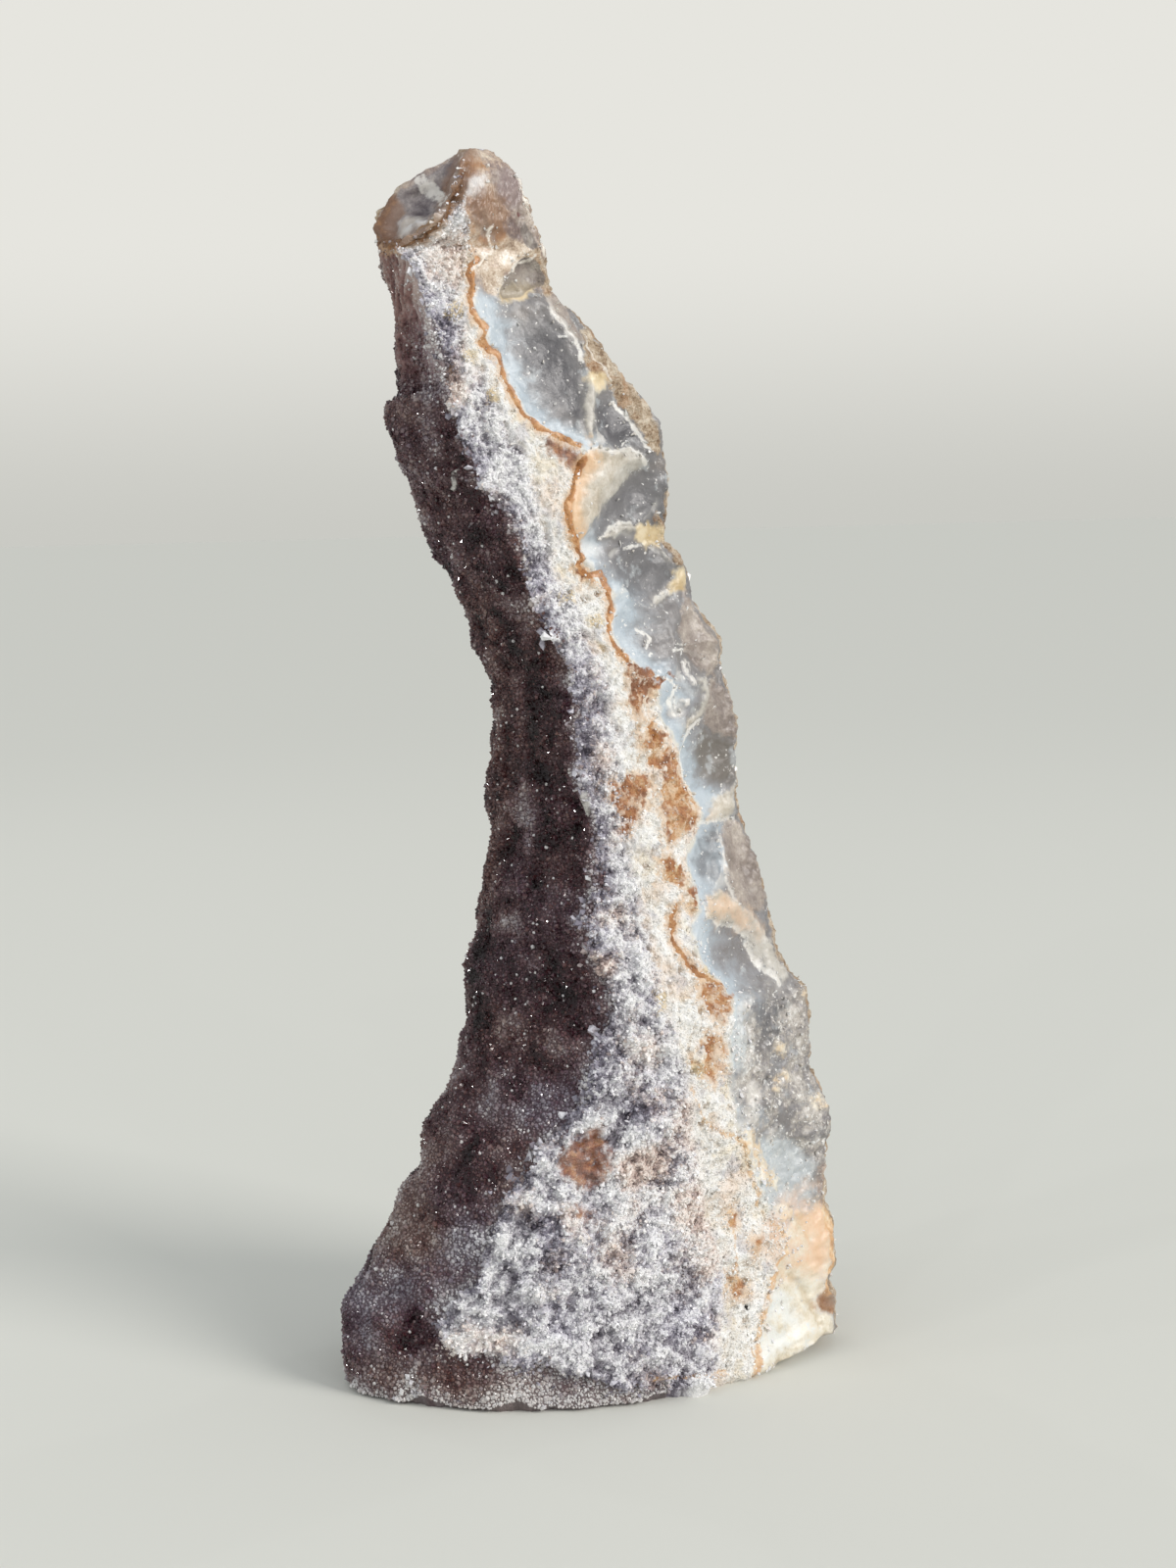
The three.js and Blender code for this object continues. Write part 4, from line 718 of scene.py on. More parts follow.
q, c, o, skin = fields["quartz"], fields["cream"], fields["orange"], fields["skin"]
is_druse = smooth(0.6, -0.6, q)
is_skin = smooth(-0.8, 0.8, skin) * (1 - is_druse)
is_glassy = smooth(-0.3, 0.6, np.maximum(o, fields["chunk"])) * (1 - is_druse) * (1 - is_skin)
is_cream = smooth(-1.5, 1.5, c) * (1 - is_glassy) * (1 - is_druse) * (1 - is_skin)
is_sugar = np.clip(1 - is_druse - is_glassy - is_cream - is_skin, 0, 1)
in_pocket = smooth(-0.4, 0.6, fields["pocket"])
is_druse = is_druse * (1 - in_pocket)
is_sugar = is_sugar * (1 - in_pocket)

low = smooth(0, 12, Z) * (1 - smooth(272, 296, Z))
mid_front = smooth(0, 0.12, T) * (1 - smooth(0.86, 1, T))
swell = lumps(flat) * low * np.where(front, mid_front, 1) * np.where(S == 0, 0.3, 1)
push = swell * np.where(np.isin(S, (4, 5, 6)), LUMP_DRUSE, LUMP_BROKEN)

small = np.random.default_rng(77)
front_chips, back_chips = [], []
for _ in range(150):
    zc = small.uniform(12, 285)
    xo = np.interp(zc, *np.array(ORANGE_EDGE).T)
    xe = np.interp(zc, STATIONS[:, 0], STATIONS[:, 5])
    a = small.uniform(1.6, 5.0)
    front_chips.append((small.uniform(xo + 1, xe - 0.5), zc, a, a * small.uniform(0.35, 0.8),
                        small.uniform(0, 180), small.uniform(0.15, 0.5)))
for _ in range(190):
    zc = small.uniform(8, 285)
    a = small.uniform(2.0, 8.0)
    back_chips.append((small.uniform(-60, 60), zc, a, a * small.uniform(0.35, 0.8),
                       small.uniform(0, 180), small.uniform(0.25, 1.0)))
flake_x, flake_z = X + 0.6 * warp_x, Z + 0.6 * warp_z
depth, gap = flake_depth(FLAKES, flake_x, flake_z)
depth2, gap2 = flake_depth(front_chips, flake_x, flake_z)
at_edge = smooth(0, 0.1, T) * (1 - smooth(0.88, 1, T))
smooth_scoop = smooth(1.2, 2.4, depth)
carve = np.where(front, (depth + depth2 * is_glassy * (1 - 0.8 * smooth_scoop)) * at_edge, 0)
on_back = np.where(S == 1, smooth(0.3, 1, T), np.where(np.isin(S, (2, 3)), 1, np.where(S == 4, 1 - smooth(0, 0.7, T), 0)))
bdepth, bgap = flake_depth(BACK_FLAKES, flake_x, flake_z)
bdepth2, bgap2 = flake_depth(back_chips, flake_x, flake_z)
carve = carve + on_back * (bdepth + bdepth2 * is_glassy)
push = push - carve * smooth(2, 8, Z)
# how sharply the flake scars meet: small near a crest, for the pale edges
crest_gap = np.where(front, gap, bgap)
fields["crest_gap"] = np.clip(crest_gap, 0, 2)
fields["hollow"] = carve

lace = ridged(flat + 0.45 * np.stack([warp_z, warp_x, warp_z], 1), 2.8, 3, 0.62, 8, 1.9)
on_ledge = np.where(S == 5, smooth(0, 1, T), np.where(S == 6, 1 - smooth(0.3, 1, T), 0))
push = push - on_ledge * LEDGE_RECESS * smooth(LEDGE_Z - 0.5, LEDGE_Z + 1.5, Z) * (1 - smooth(LEDGE_Z + 8, LEDGE_Z + 24, Z))

bent = flat + 0.55 * np.stack([warp_x, warp_z, warp_z - warp_x], 1)
f1, f2, _ = cells(bent, 9.0, 1)
g1, g2, _ = cells(bent, 3.6, 2)
lobes = 0.42 - f1 ** 2
buds = 0.42 - g1 ** 2
druse_relief = 1.7 * lobes + 0.75 * buds + 0.35 * fbm(flat, 2.2, 2, 0.5, 14)
above = smooth(243, 247, Z) * np.isin(S, (5, 6))
fibrous = above * np.maximum(smooth(255, 262, Z + warp_z), smooth(-40, -44, X + warp_x))
fibre = flat * (1, 1, 0.30)
stria = ridged(fibre + 0.4 * np.stack([warp_x, warp_z, warp_x], 1), 2.3, 2, 0.6, 15) - 0.35
stria = stria * fibrous
druse_relief = druse_relief * (1 - 0.65 * fibrous) + 1.1 * stria
c1, c2, cv = cells(flat, 4.6, 4)
sugar_coarse = fbm(flat, 7.0, 3, 0.6, 5)
crust_a = ridged(bent, 4.4, 2, 0.55, 5)
crust_b = ridged(flat + 0.35 * np.stack([warp_z, warp_x, warp_x], 1), 2.0, 2, 0.55, 6)
crust = 0.55 * crust_a + 0.45 * crust_b
low_sugar = smooth(150, 105, Z) * front
masses = low_sugar * (0.42 - f1 ** 2)
crevice = low_sugar * smooth(0.20, 0.0, f2 - f1) * smooth(-0.2, 0.2, fbm(flat, 14.0, 2, 0.5, 59))
sugar_relief = 1.9 * sugar_coarse + 1.5 * masses - 0.7 * crevice + 1.7 * smooth(-0.3, 1.8, q) * low_sugar + 1.4 * (crust_a - 0.40) + 0.6 * (crust_b - 0.40) + 1.1 * (lace - 0.42)
vug = smooth(0.30, 0.14, c1) * (cv > 0.62)
cream_relief = (0.9 * fbm(flat, 6.0, 3, 0.6, 7) + 1.3 * (crust_a - 0.35) + 0.9 * (crust_b - 0.35)
                + 0.4 * (cv - 0.5) * smooth(0.02, 0.15, c2 - c1) - 0.9 * vug)
glass_relief = 0.16 * fbm(flat, 5.0, 2, 0.5, 9) + 0.06 * fbm(flat, 1.6, 1, 0.5, 10)
skin_relief = 1.3 * fbm(flat, 4.2, 3, 0.65, 11) + 0.9 * (cv - 0.5) * smooth(0.02, 0.15, c2 - c1) + 0.4 * (crust_b - 0.35)
knobbly = smooth(98, 84, Z) * smooth(30, 44, Z) * front * is_glassy * smooth(-2.0, 4.0, o)
fields["knobbly"] = knobbly
# crust and vug go to the finishes, where they paint the crests lighter and the hollows and vugs darker: painted light
# and shade.
fields["crust"] = crust
fields["above"] = above
fields["vug"] = vug
glass_relief = glass_relief + knobbly * (0.7 * buds + 0.7 * fbm(flat, 3.0, 3, 0.6, 12) + 0.5 * (crust_b - 0.35))
relief = (is_druse * druse_relief + is_sugar * sugar_relief + is_cream * cream_relief
          + is_glassy * glass_relief + is_skin * skin_relief)
edge_in = lambda name, a=-0.15, b=0.35: smooth(a, b, fields[name])
crusty = 0.30 * fbm(flat, 2.4, 2, 0.6, 16)
relief = relief + edge_in("cchip") * (0.5 + crusty) + edge_in("taupe") * (0.35 + crusty) + 0.35 * edge_in("peach", -0.3, 0.8)
relief = relief + (0.45 + 0.7 * is_druse) * edge_in("chips") + edge_in("islands") * (0.5 + crusty)
iron_relief = -0.25 + 0.7 * fbm(flat, 2.0, 3, 0.6, 13)
relief = relief + 0.6 * edge_in("iron", -0.2, 0.4) * iron_relief - 1.2 * edge_in("rust", -2.0, 3.0)
relief = relief - 0.30 * edge_in("ironline", -0.3, 0.2) - 0.8 * edge_in("crease", -0.7, 0.2) + 0.3 * edge_in("crack", -0.3, 0.2)
relief = relief - 0.25 * edge_in("smoke", -0.2, 0.8)
rim = smooth(-2.2, -0.6, fields["pocket"]) * (1 - smooth(-0.4, 0.6, fields["pocket"])) * (Z > 275)
relief = relief - 2.3 * smooth(0.0, 4.0, fields["pocket"]) + 0.5 * rim + 1.3 * smooth(-1, 2, fields["milk_and_highlight"]) * in_pocket
relief = relief + in_pocket * 0.5 * (cv - 0.5) * smooth(0.02, 0.15, c2 - c1)
broken_edge = np.where(front, smooth(0.9, 1, T), np.where(S == 0, 1 - smooth(0.2, 0.8, T), 0)) * (1 - is_skin)
relief = relief + broken_edge * (1.1 * (fbm(flat, 3.2, 3, 0.6, 17) - 0.15) + 0.5 * (crust_b - 0.45)) * smooth(4, 10, Z)
at_tip = smooth(274, 282, Z)
relief = relief + at_tip * (0.8 * fbm(flat, 3.4, 3, 0.6, 18) + 0.5 * (crust_b - 0.4))
at_foot = smooth(9, 0, Z)
relief = relief + at_foot * (1.5 * fbm(flat * (1, 1, 0.3), 8.0, 3, 0.6, 19) + 0.7 * (crust_b - 0.4))
notch = np.exp(-(((X - 57.5) / 3.0) ** 2 + ((Z - 10.5) / 2.6) ** 2))
relief = relief - 1.1 * notch * front
pit = np.exp(-(((X - 36.1) / 0.8) ** 2 + ((Z - 16.9) / 0.8) ** 2)) * front
relief = relief - 1.6 * pit
fields["pit"] = pit
speck = np.exp(-(((X + 13.2) / 0.7) ** 2 + ((Z - 284.1) / 0.8) ** 2)) * front
relief = relief - 0.6 * speck
fields["speck"] = speck
relief = relief * smooth(-2.5, 2.0, Z) * np.where(Z > 292, 0.8, 1)
push = push + relief
fields["relief"] = relief

P = (flat + N.reshape(-1, 3) * push[:, None]).reshape(n_rows, n_cols, 3)
P[:, :, 2] += RIGHT_LIFT * smooth(0, LIFT_RUN, P[:, :, 0] - CONTACT_X_MAX) * np.maximum(0, 1 - Z.reshape(n_rows, n_cols) / LIFT_FADE)
foot_gap = 4.2 * np.clip(fbm(flat * (1, 1, 0) + (0, 0, 40.0), 17.0, 3, 0.6, 58) + 0.08, 0, 0.8) * np.exp(-np.maximum(Z, 0) / 5.0)
P[:, :, 2] += foot_gap.reshape(n_rows, n_cols)
P[:, :, 2] = np.maximum(P[:, :, 2], FOOT_RISE * 0.6)
N = grid_normals(P)

# Tints of the two crystalline layers, shared by the ground under them and by their crystals.
pale_t, warm_t = tints(DRUSE_TINTS, X, Z, 2)
pale_t = np.where(facing > 0.02, pale_t, 0.12 * smooth(0.1, 0.5, fbm(flat, 18.0, 2, 0.5, 24)) + 0.10 * smooth(30, 0, Z))
edge_fade = smooth(-7.0, 0.5, q + 3.0 * fbm(flat, 6.0, 2, 0.5, 25))
pale = (0.15 + pale_t + 0.36 * smooth(0.02, 0.55, fbm(flat, 14.0, 3, 0.55, 21)) + 0.26 * fbm(flat, 5.0, 2, 0.5, 22)
        + 0.34 * edge_fade + 0.42 * smooth(-3.4, 0.4, q) * smooth(-0.30, 0.20, fbm(flat, 13.0, 2, 0.5, 27)) + above * (0.14 + 0.9 * stria + 0.8 * np.clip(lace - 0.50, 0, 0.4) * (1 - fibrous) + 0.25 * fbm(flat, 3.0, 2, 0.5, 26)
                                      + 0.25 * smooth(-7.0, 0.0, q) - 0.12 * smooth(258, 250, Z) * smooth(0.0, -4.0, q)))
# The druse is paler on the tops of its lobes and buds and darker in the grooves between them: painted light and shade
# on the relief.
pale = pale + (0.26 * np.clip(lobes - 0.12, -0.5, 0.4) + 0.16 * np.clip(buds - 0.1, -0.5, 0.4)) * is_druse * (1 - 0.6 * above)
near_foot = 0.31 * smooth(10, 0, Z) + 0.90 * smooth(5.0, 0.5, Z) * smooth(-0.35, 0.30, fbm(flat * (1, 1, 0.4), 9.0, 3, 0.6, 60))
pale = pale + near_foot + 0.10 * smooth(0.3, 1.0, T) * (S == 5) * smooth(245, 235, Z)
warmth = np.clip(0.52 + warm_t + 0.55 * fbm(flat, 22.0, 2, 0.5, 23) + 0.3 * above, 0, 1)
grey_t, rosy_t, lav_t = tints(QUARTZ_TINTS, X, Z, 3)
grey_t, rosy_t, lav_t = (np.where(facing > 0.02, v, 0.0) for v in (grey_t, rosy_t, lav_t))
clump = fbm(flat, 3.2, 3, 0.6, 31)
# shade: the grey of the white quartz, partly its own tone and partly painted shade: greyer in the hollows and crevices
# of the sugar relief (crust_a, crust_b, lace, sugar_coarse, crevice) and whiter on its crests.
shade = (0.285 + grey_t - 0.44 * (crust_a - 0.46) - 0.16 * (crust_b - 0.46) - 0.52 * (lace - 0.42) - 0.54 * sugar_coarse + 0.20 * crevice
         + 0.20 * clump + 0.32 * smooth(6.0, 0, q))
shade = shade + 0.10 * fbm(flat, 17.0, 2, 0.5, 34)
rosy = np.clip(0.24 + rosy_t + 0.75 * fbm(flat, 11.0, 2, 0.5, 32), 0, 1)
lavender = np.clip(0.22 + 0.40 * smooth(6, 0, q) + 0.8 * lav_t + 0.6 * fbm(flat, 9.0, 2, 0.5, 33), 0, 1)
fields["pale"], fields["warmth"] = np.clip(pale, 0, 1), warmth
fields["shade"], fields["rosy"], fields["lavender"] = np.clip(shade, 0, 1), rosy, lavender


# ---- making meshes --------------------------------------------------------------------
def make_mesh(name, verts, faces, smooth_shading, point_data=None):
    """A mesh object from millimetre vertices and (n, k) face indices, riding on the stone's body."""
    mesh = bpy.data.meshes.new(name)
    verts = (np.asarray(verts) - CENTRE) * 0.001
    blocks = faces if isinstance(faces, list) else [faces]
    mesh.vertices.add(len(verts))
    mesh.vertices.foreach_set("co", verts.astype(np.float32).ravel())
    loops = np.concatenate([b.ravel() for b in blocks])
    totals = np.concatenate([np.full(len(b), b.shape[1]) for b in blocks])
    mesh.loops.add(len(loops))
    mesh.loops.foreach_set("vertex_index", loops.astype(np.int32))
    mesh.polygons.add(len(totals))
    mesh.polygons.foreach_set("loop_start", np.concatenate([[0], np.cumsum(totals)[:-1]]).astype(np.int32))
    mesh.polygons.foreach_set("loop_total", totals.astype(np.int32))
    mesh.polygons.foreach_set("use_smooth", np.full(len(totals), smooth_shading))
    mesh.update(calc_edges=True)
    mesh.validate()
    for key, values in (point_data or {}).items():
        a = mesh.attributes.new(key, "FLOAT", "POINT")
        a.data.foreach_set("value", np.asarray(values, np.float32))
    obj = bpy.data.objects.new(name, mesh)
    bpy.context.scene.collection.objects.link(obj)
    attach(obj, "root")
    return obj


# The stone: side quads, a chamfer down to the flat resting face, and a cap on the tip.
foot = P[0].copy()
r = np.linalg.norm(foot[:, :2], axis=1, keepdims=True)
foot[:, :2] *= (r - FOOT_CHAMFER) / r
foot[:, 0] = np.minimum(foot[:, 0], CONTACT_X_MAX)
foot[:, 2] = 0
under = np.array([[-4.0, -2.0, 0.0]])
tip = P[-1].mean(0, keepdims=True)
tip[0, 2] = TOTAL_HEIGHT
verts = np.concatenate([foot, P.reshape(-1, 3), under, tip])
i = np.arange(n_rows)[:, None] * n_cols
j = np.arange(n_cols)[None]
k = (j + 1) % n_cols
quads = np.stack([i + j, i + k, i + k + n_cols, i + j + n_cols], -1).reshape(-1, 4)
j, k = np.arange(n_cols), (np.arange(n_cols) + 1) % n_cols
top0 = n_rows * n_cols
tris = np.concatenate([np.stack([k, j, np.full(n_cols, len(verts) - 2)], 1),
                       np.stack([top0 + j, top0 + k, np.full(n_cols, len(verts) - 1)], 1)])
pad = lambda v: np.concatenate([v[:n_cols], v, [v[0], v[-1]]])
keep = ("quartz", "cream", "orange", "skin", "iron", "ironline", "rust", "gold", "cchip", "taupe", "peach", "chunk",
        "dark", "milk_and_highlight", "kcream", "plum", "pocket", "brown", "chips", "crest", "crest_gap", "hollow", "knob", "knobbly",
        "pale", "warmth", "shade", "rosy", "lavender", "pit", "crust", "vug", "smoke", "olive", "amber", "rim", "crack", "vein", "speck", "above", "islands", "mist", "veil", "deep", "smoky", "frost", "lift", "crease")
padded = {"s_" + n: pad(fields[n]) for n in keep}

# A map of the stone: its side unrolled, and its foot and tip beside it, for finishes that need one.
mean_step = step.mean(0)
u_col = np.concatenate([[0], np.cumsum(mean_step)]) / mean_step.sum()
height = np.concatenate([np.full(n_cols, 0.0), np.repeat(np.arange(n_rows) / (n_rows - 1), n_cols)])
of_front = (np.arange(len(quads)) % n_cols) < COLUMNS[0]


def stone_piece(name, side, caps):
    """Part of the stone from side quads and cap triangles, with its own vertices and map."""
    used = np.unique(np.concatenate([side.ravel(), caps.ravel()]) if len(caps) else side.ravel())
    index = np.full(len(verts), -1)
    index[used] = np.arange(len(used))
    blocks = [index[side]] + ([index[caps]] if len(caps) else [])
    piece = make_mesh(name, verts[used], blocks, True, {key: v[used] for key, v in padded.items()})
    uv = piece.data.uv_layers.new(name="OFBake")
    col = side % n_cols
    wrap = (side[:, 0] % n_cols) == n_cols - 1
    u = u_col[col]
    u[wrap, 1] = 1.0
    u[wrap, 2] = 1.0
    lo, hi = u.min(), u.max()
    uvs = np.zeros((side.size + caps.size, 2))
    uvs[:side.size, 0] = 0.004 + 0.992 * (u.ravel() - lo) / (hi - lo)
    uvs[:side.size, 1] = 0.12 + 0.876 * height[side].ravel()
    if len(caps):
        cap = verts[caps.ravel()]
        half = len(cap) // 2
        uvs[side.size:side.size + half] = 0.01 + 0.10 * (cap[:half, :2] - (-70, -50)) / 130
        uvs[side.size + half:] = np.array([0.2, 0.01]) + 0.10 * (cap[half:, :2] - (-70, -50)) / 130
    uv.data.foreach_set("uv", uvs.astype(np.float32).ravel())
    return piece


stone = stone_piece("stone_back", quads[~of_front], tris)
face = stone_piece("stone_face", quads[of_front], np.zeros((0, 3), int))
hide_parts(NODE)


# ---- crystals -------------------------------------------------------------------------
def scatter(spacing, columns, seed, jitter=0.42):
    """Fractional rows and columns of points about `spacing` mm apart over the given columns."""
    rng = np.random.default_rng(seed)
    a, b = columns
    rows, cols = [], []
    z_now, end = float(zs[0]), float(zs[-1])
    k = 0
    while z_now < end:
        r = np.interp(z_now, zs, np.arange(n_rows))
        r0 = int(min(r, n_rows - 2))
        line = P[r0][np.arange(a, b + 1) % n_cols]
        s = np.concatenate([[0], np.cumsum(np.linalg.norm(np.diff(line, axis=0), axis=1))])
        n = max(int(s[-1] / spacing), 1)
        at = (np.arange(n) + 0.5 * (k % 2) + rng.uniform(-jitter, jitter, n)) * s[-1] / n
        at = np.clip(at, 0, s[-1])
        cols.append(a + np.interp(at, s, np.arange(len(s))))
        rows.append(np.clip(np.interp(z_now + rng.uniform(-jitter, jitter, n) * spacing, zs, np.arange(n_rows)), 0, n_rows - 1.001))
        z_now += 0.87 * spacing
        k += 1
    return np.concatenate(rows), np.concatenate(cols)


def sample(values, rows, cols):
    """Bilinear value of a per-vertex array at fractional rows and columns."""
    v = np.asarray(values).reshape(n_rows, n_cols, -1)
    r0 = np.floor(rows).astype(int)
    c0 = np.floor(cols).astype(int)
    fr, fc = (rows - r0)[:, None], (cols - c0)[:, None]
    c0, c1 = c0 % n_cols, (c0 + 1) % n_cols
    r1 = np.minimum(r0 + 1, n_rows - 1)
    out = (v[r0, c0] * (1 - fr) * (1 - fc) + v[r0, c1] * (1 - fr) * fc
           + v[r1, c0] * fr * (1 - fc) + v[r1, c1] * fr * fc)
    return out[:, 0] if out.shape[1] == 1 else out


def unit(v):
    return v / (np.linalg.norm(v, axis=1, keepdims=True) + 1e-12)


def points_mesh(name, pos, axis, radius, length, sink, rng, prism=False, point_data=None, sides=6, rough=0.12, flat_to=1.0):
    """Joined crystals: a point above, a short prism if `prism`, and a point sunk into the stone."""
    n = len(pos)
    ref = np.where(np.abs(axis[:, 2:3]) > 0.9, (1.0, 0, 0), (0, 0, 1.0))
    u = unit(np.cross(ref, axis))
    w = np.cross(axis, u)
    spin = rng.uniform(0, 2 * np.pi, n)[:, None]
    angle = spin + np.arange(sides)[None] * 2 * np.pi / sides
    rad = radius[:, None] * (1 + rng.uniform(-rough, rough, (n, sides)))
    turn_ = rng.uniform(0, 2 * np.pi, n)[:, None]
    u, w = np.cos(turn_) * u + np.sin(turn_) * w, np.cos(turn_) * w - np.sin(turn_) * u
    narrow = rng.uniform(flat_to, 1, n)[:, None, None]
    ring_dir = np.cos(angle)[:, :, None] * u[:, None] + np.sin(angle)[:, :, None] * w[:, None] * narrow
    alternate = (np.arange(sides) % 2 * 2 - 1)[None] * 0.16 * radius[:, None]
    tip_off = (rng.uniform(-0.3, 0.3, (n, 2)) * radius[:, None])
    tips = pos + axis * length[:, None] + u * tip_off[:, :1] + w * tip_off[:, 1:]
    bottom = pos - axis * sink[:, None]
    rings = []
    if prism:
        rings.append(pos[:, None] + ring_dir * rad[:, :, None] * 0.97 - axis[:, None] * (0.25 * sink)[:, None, None])
    h = (length - 0.95 * radius).clip(0.02)
    rings.append(pos[:, None] + ring_dir * rad[:, :, None] + axis[:, None] * (h[:, None] + alternate)[:, :, None])
    verts = np.concatenate(rings + [tips[:, None], bottom[:, None]], 1)
    nv = verts.shape[1]
    tip_i, bottom_i = nv - 2, nv - 1
    local = []
    top = (len(rings) - 1) * sides
    for a in range(sides):
        b = (a + 1) % sides
        local.append((top + a, top + b, tip_i))
        local.append((b, a, bottom_i))
        if prism:
            local.append((a, b, sides + b))
            local.append((a, sides + b, sides + a))
    faces = (np.array(local)[None] + (np.arange(n) * nv)[:, None, None]).reshape(-1, 3)
    data = {k: np.repeat(v, nv) for k, v in (point_data or {}).items()}
    return make_mesh(name, verts.reshape(-1, 3), faces, False, data)


PF, NF = P.reshape(-1, 3), N.reshape(-1, 3)
FRONT_COLS = (int(first_col[5]), n_cols + int(COLUMNS[0] * 0.62))      # druse seen from the front, and its strip at the foot
BACK_COLS = (int(first_col[4]) - 12, int(first_col[5]))                # druse round the back


def druse_points(spacing, columns, seed):
    rows_i, cols_i = scatter(spacing, columns, seed)
    rng = np.random.default_rng(seed + 1)
    qv = sample(q, rows_i, cols_i)
    pk = sample(in_pocket, rows_i, cols_i)
    up_top = sample(fibrous, rows_i, cols_i)
    keep_i = (qv + rng.normal(0, 1.2, len(qv)) < 0.4) & (pk < 0.4) & (rng.random(len(qv)) > 0.55 * up_top) & (sample(fields["chips"], rows_i, cols_i) < 0.0)
    rows_i, cols_i = rows_i[keep_i], cols_i[keep_i]
    pos, nor = sample(PF, rows_i, cols_i), unit(sample(NF, rows_i, cols_i))
    n = len(pos)
    small_top = 2.5 * sample(fibrous, rows_i, cols_i)
    size = spacing * (0.43 + 0.40 * rng.random(n) ** 2.8) * (1 - 0.15 * small_top)
    lean = unit(rng.normal(size=(n, 3)))
    tilt = np.tan(np.radians(rng.uniform(0, 42, n)))[:, None]
    axis = unit(nor + lean * tilt * 0.9)
    length = size * rng.uniform(0.75, 1.45, n)
    pos = pos + nor * (rng.uniform(-0.45, 0.15, n) * size)[:, None]
    # About one druse point in a hundred is set near white, larger and a little proud: painted glints. frost also makes
    # a few points paler as frosted crystals.
    painted_glint = rng.random(n) > 0.9895
    size = np.where(painted_glint, 0.56 * spacing, size)
    frost = 0.30 * (rng.random(n) > 0.94) * rng.random(n) + 1.2 * painted_glint
    base = sample(pale, rows_i, cols_i)
    varied = np.exp(rng.normal(-0.06, 1, n) * (0.31 - 0.19 * smooth(0.15, 0.50, base)))
    tone = np.clip(base * varied + rng.normal(-0.03, 0.05, n) + frost * (1 - 0.6 * smooth(0.2, 0.5, base)), 0, 1)
    warm = np.clip(sample(warmth, rows_i, cols_i) + rng.normal(0, 0.15, n), 0, 1)
    pos = pos + nor * (0.3 * size * painted_glint)[:, None]
    pos[:, 2] = np.maximum(pos[:, 2], 0.95 * size + 0.15)
    return pos, axis, size, length, tone, warm


def join_points(*groups):
    return [np.concatenate(v) for v in zip(*groups)]


front_spacing, back_spacing = ((0.73, 1.30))
d_pos, d_axis, d_size, d_length, d_tone, d_warm = join_points(
    druse_points(front_spacing, FRONT_COLS, 301), druse_points(back_spacing, BACK_COLS, 311))
rng = np.random.default_rng(302)
order = rng.permutation(len(d_pos))
n_big = int(0.10 * len(order))
groups = [order[:n_big]] + np.array_split(order[n_big:], 3)
druse = []
for name, pick, prism in zip(("druse_prisms", "druse_points_a", "druse_points_b", "druse_points_c"), groups, (True, False, False, False)):
    grow = 1.25 if prism else 1.0
    druse.append(points_mesh(name, d_pos[pick], d_axis[pick], grow * d_size[pick], (1.5 if prism else 1.0) * d_length[pick],
                             1.1 * d_size[pick], rng, prism, {"tone": d_tone[pick], "warm": d_warm[pick]},
                             6 if prism else 5, 0.2))


# Sugary quartz: broken grains standing out of the white layer, front and back.
def quartz_points(spacing, columns, seed):
    rows_g, cols_g = scatter(spacing, columns, seed, 0.48)
    rng = np.random.default_rng(seed + 1)
    sug = sample(is_sugar, rows_g, cols_g)
    crm = sample(is_cream, rows_g, cols_g)
    fe = sample(np.maximum(np.maximum(np.maximum(fields["iron"] - 0.1, fields["ironline"]), fields["rim"]), np.minimum(fields["rust"], 1.0) * 0.8 + 0.1), rows_g, cols_g)
    peak = sample(0.5 * crust + 0.5 * lace, rows_g, cols_g)
    rind_g = smooth(-1.5, 0.0, sample(skin, rows_g, cols_g))
    chance = (0.97 * sug + 0.42 * crm * (0.4 + 1.4 * peak) * (1 - 0.8 * rind_g)) * (1 - 0.85 * smooth(-0.9, -0.1, fe))
    over_line = sample(o, rows_g, cols_g)
    faded = 0.30 * smooth(7.0, 0.0, over_line) * smooth(-0.5, 0.5, over_line) * smooth(125, 105, sample(Z, rows_g, cols_g)) * (1 - rind_g)
    chance = chance + faded * smooth(0.42, 0.62, peak) * (1 - smooth(-0.9, -0.1, fe))
    spill = 0.34 * smooth(-4.5, 0.0, sample(q, rows_g, cols_g)) * sample(is_druse, rows_g, cols_g)
    chance = np.maximum(chance * (1 - smooth(-1.0, 0.3, sample(fields["rust"], rows_g, cols_g))), spill)
    keep_g = (rng.random(len(sug)) < chance) & (sample(in_pocket, rows_g, cols_g) < 0.3)
    rows_g, cols_g, crm, peak = rows_g[keep_g], cols_g[keep_g], crm[keep_g], peak[keep_g]
    pos, nor = sample(PF, rows_g, cols_g), unit(sample(NF, rows_g, cols_g))
    n = len(pos)
    size = spacing * (0.36 + 0.50 * rng.random(n) ** 2.4) * (1 - 0.25 * crm) * (0.70 + 0.55 * peak) * (1 + 0.20 * smooth(112, 92, pos[:, 2]))
    outward = np.stack([-np.ones(n), np.zeros(n), 0.25 * np.ones(n)], 1)
    axis = unit(0.6 * nor + unit(rng.normal(size=(n, 3))) * 0.8 + outward * 0.25)
    length = size * rng.uniform(1.1, 2.8, n)
    # the grains take the quartz's grey, with its painted shade in the hollows of the relief
    tone = np.clip(sample(shade, rows_g, cols_g) + rng.normal(0, 0.15, n), 0, 1)
    tone = np.where(sample(o, rows_g, cols_g) > 0.2, 0.35 * tone, tone)
    red = np.clip(sample(rosy, rows_g, cols_g) + rng.normal(0, 0.12, n), 0, 1)
    lav = np.clip(sample(lavender, rows_g, cols_g) + rng.normal(0, 0.12, n), 0, 1)
    pos = pos - nor * (0.15 * size)[:, None]
    pos[:, 2] = np.maximum(pos[:, 2], 1.3 * size + 0.1)
    return pos, axis, size, length, tone, red, lav, np.clip(crm, 0, 1)


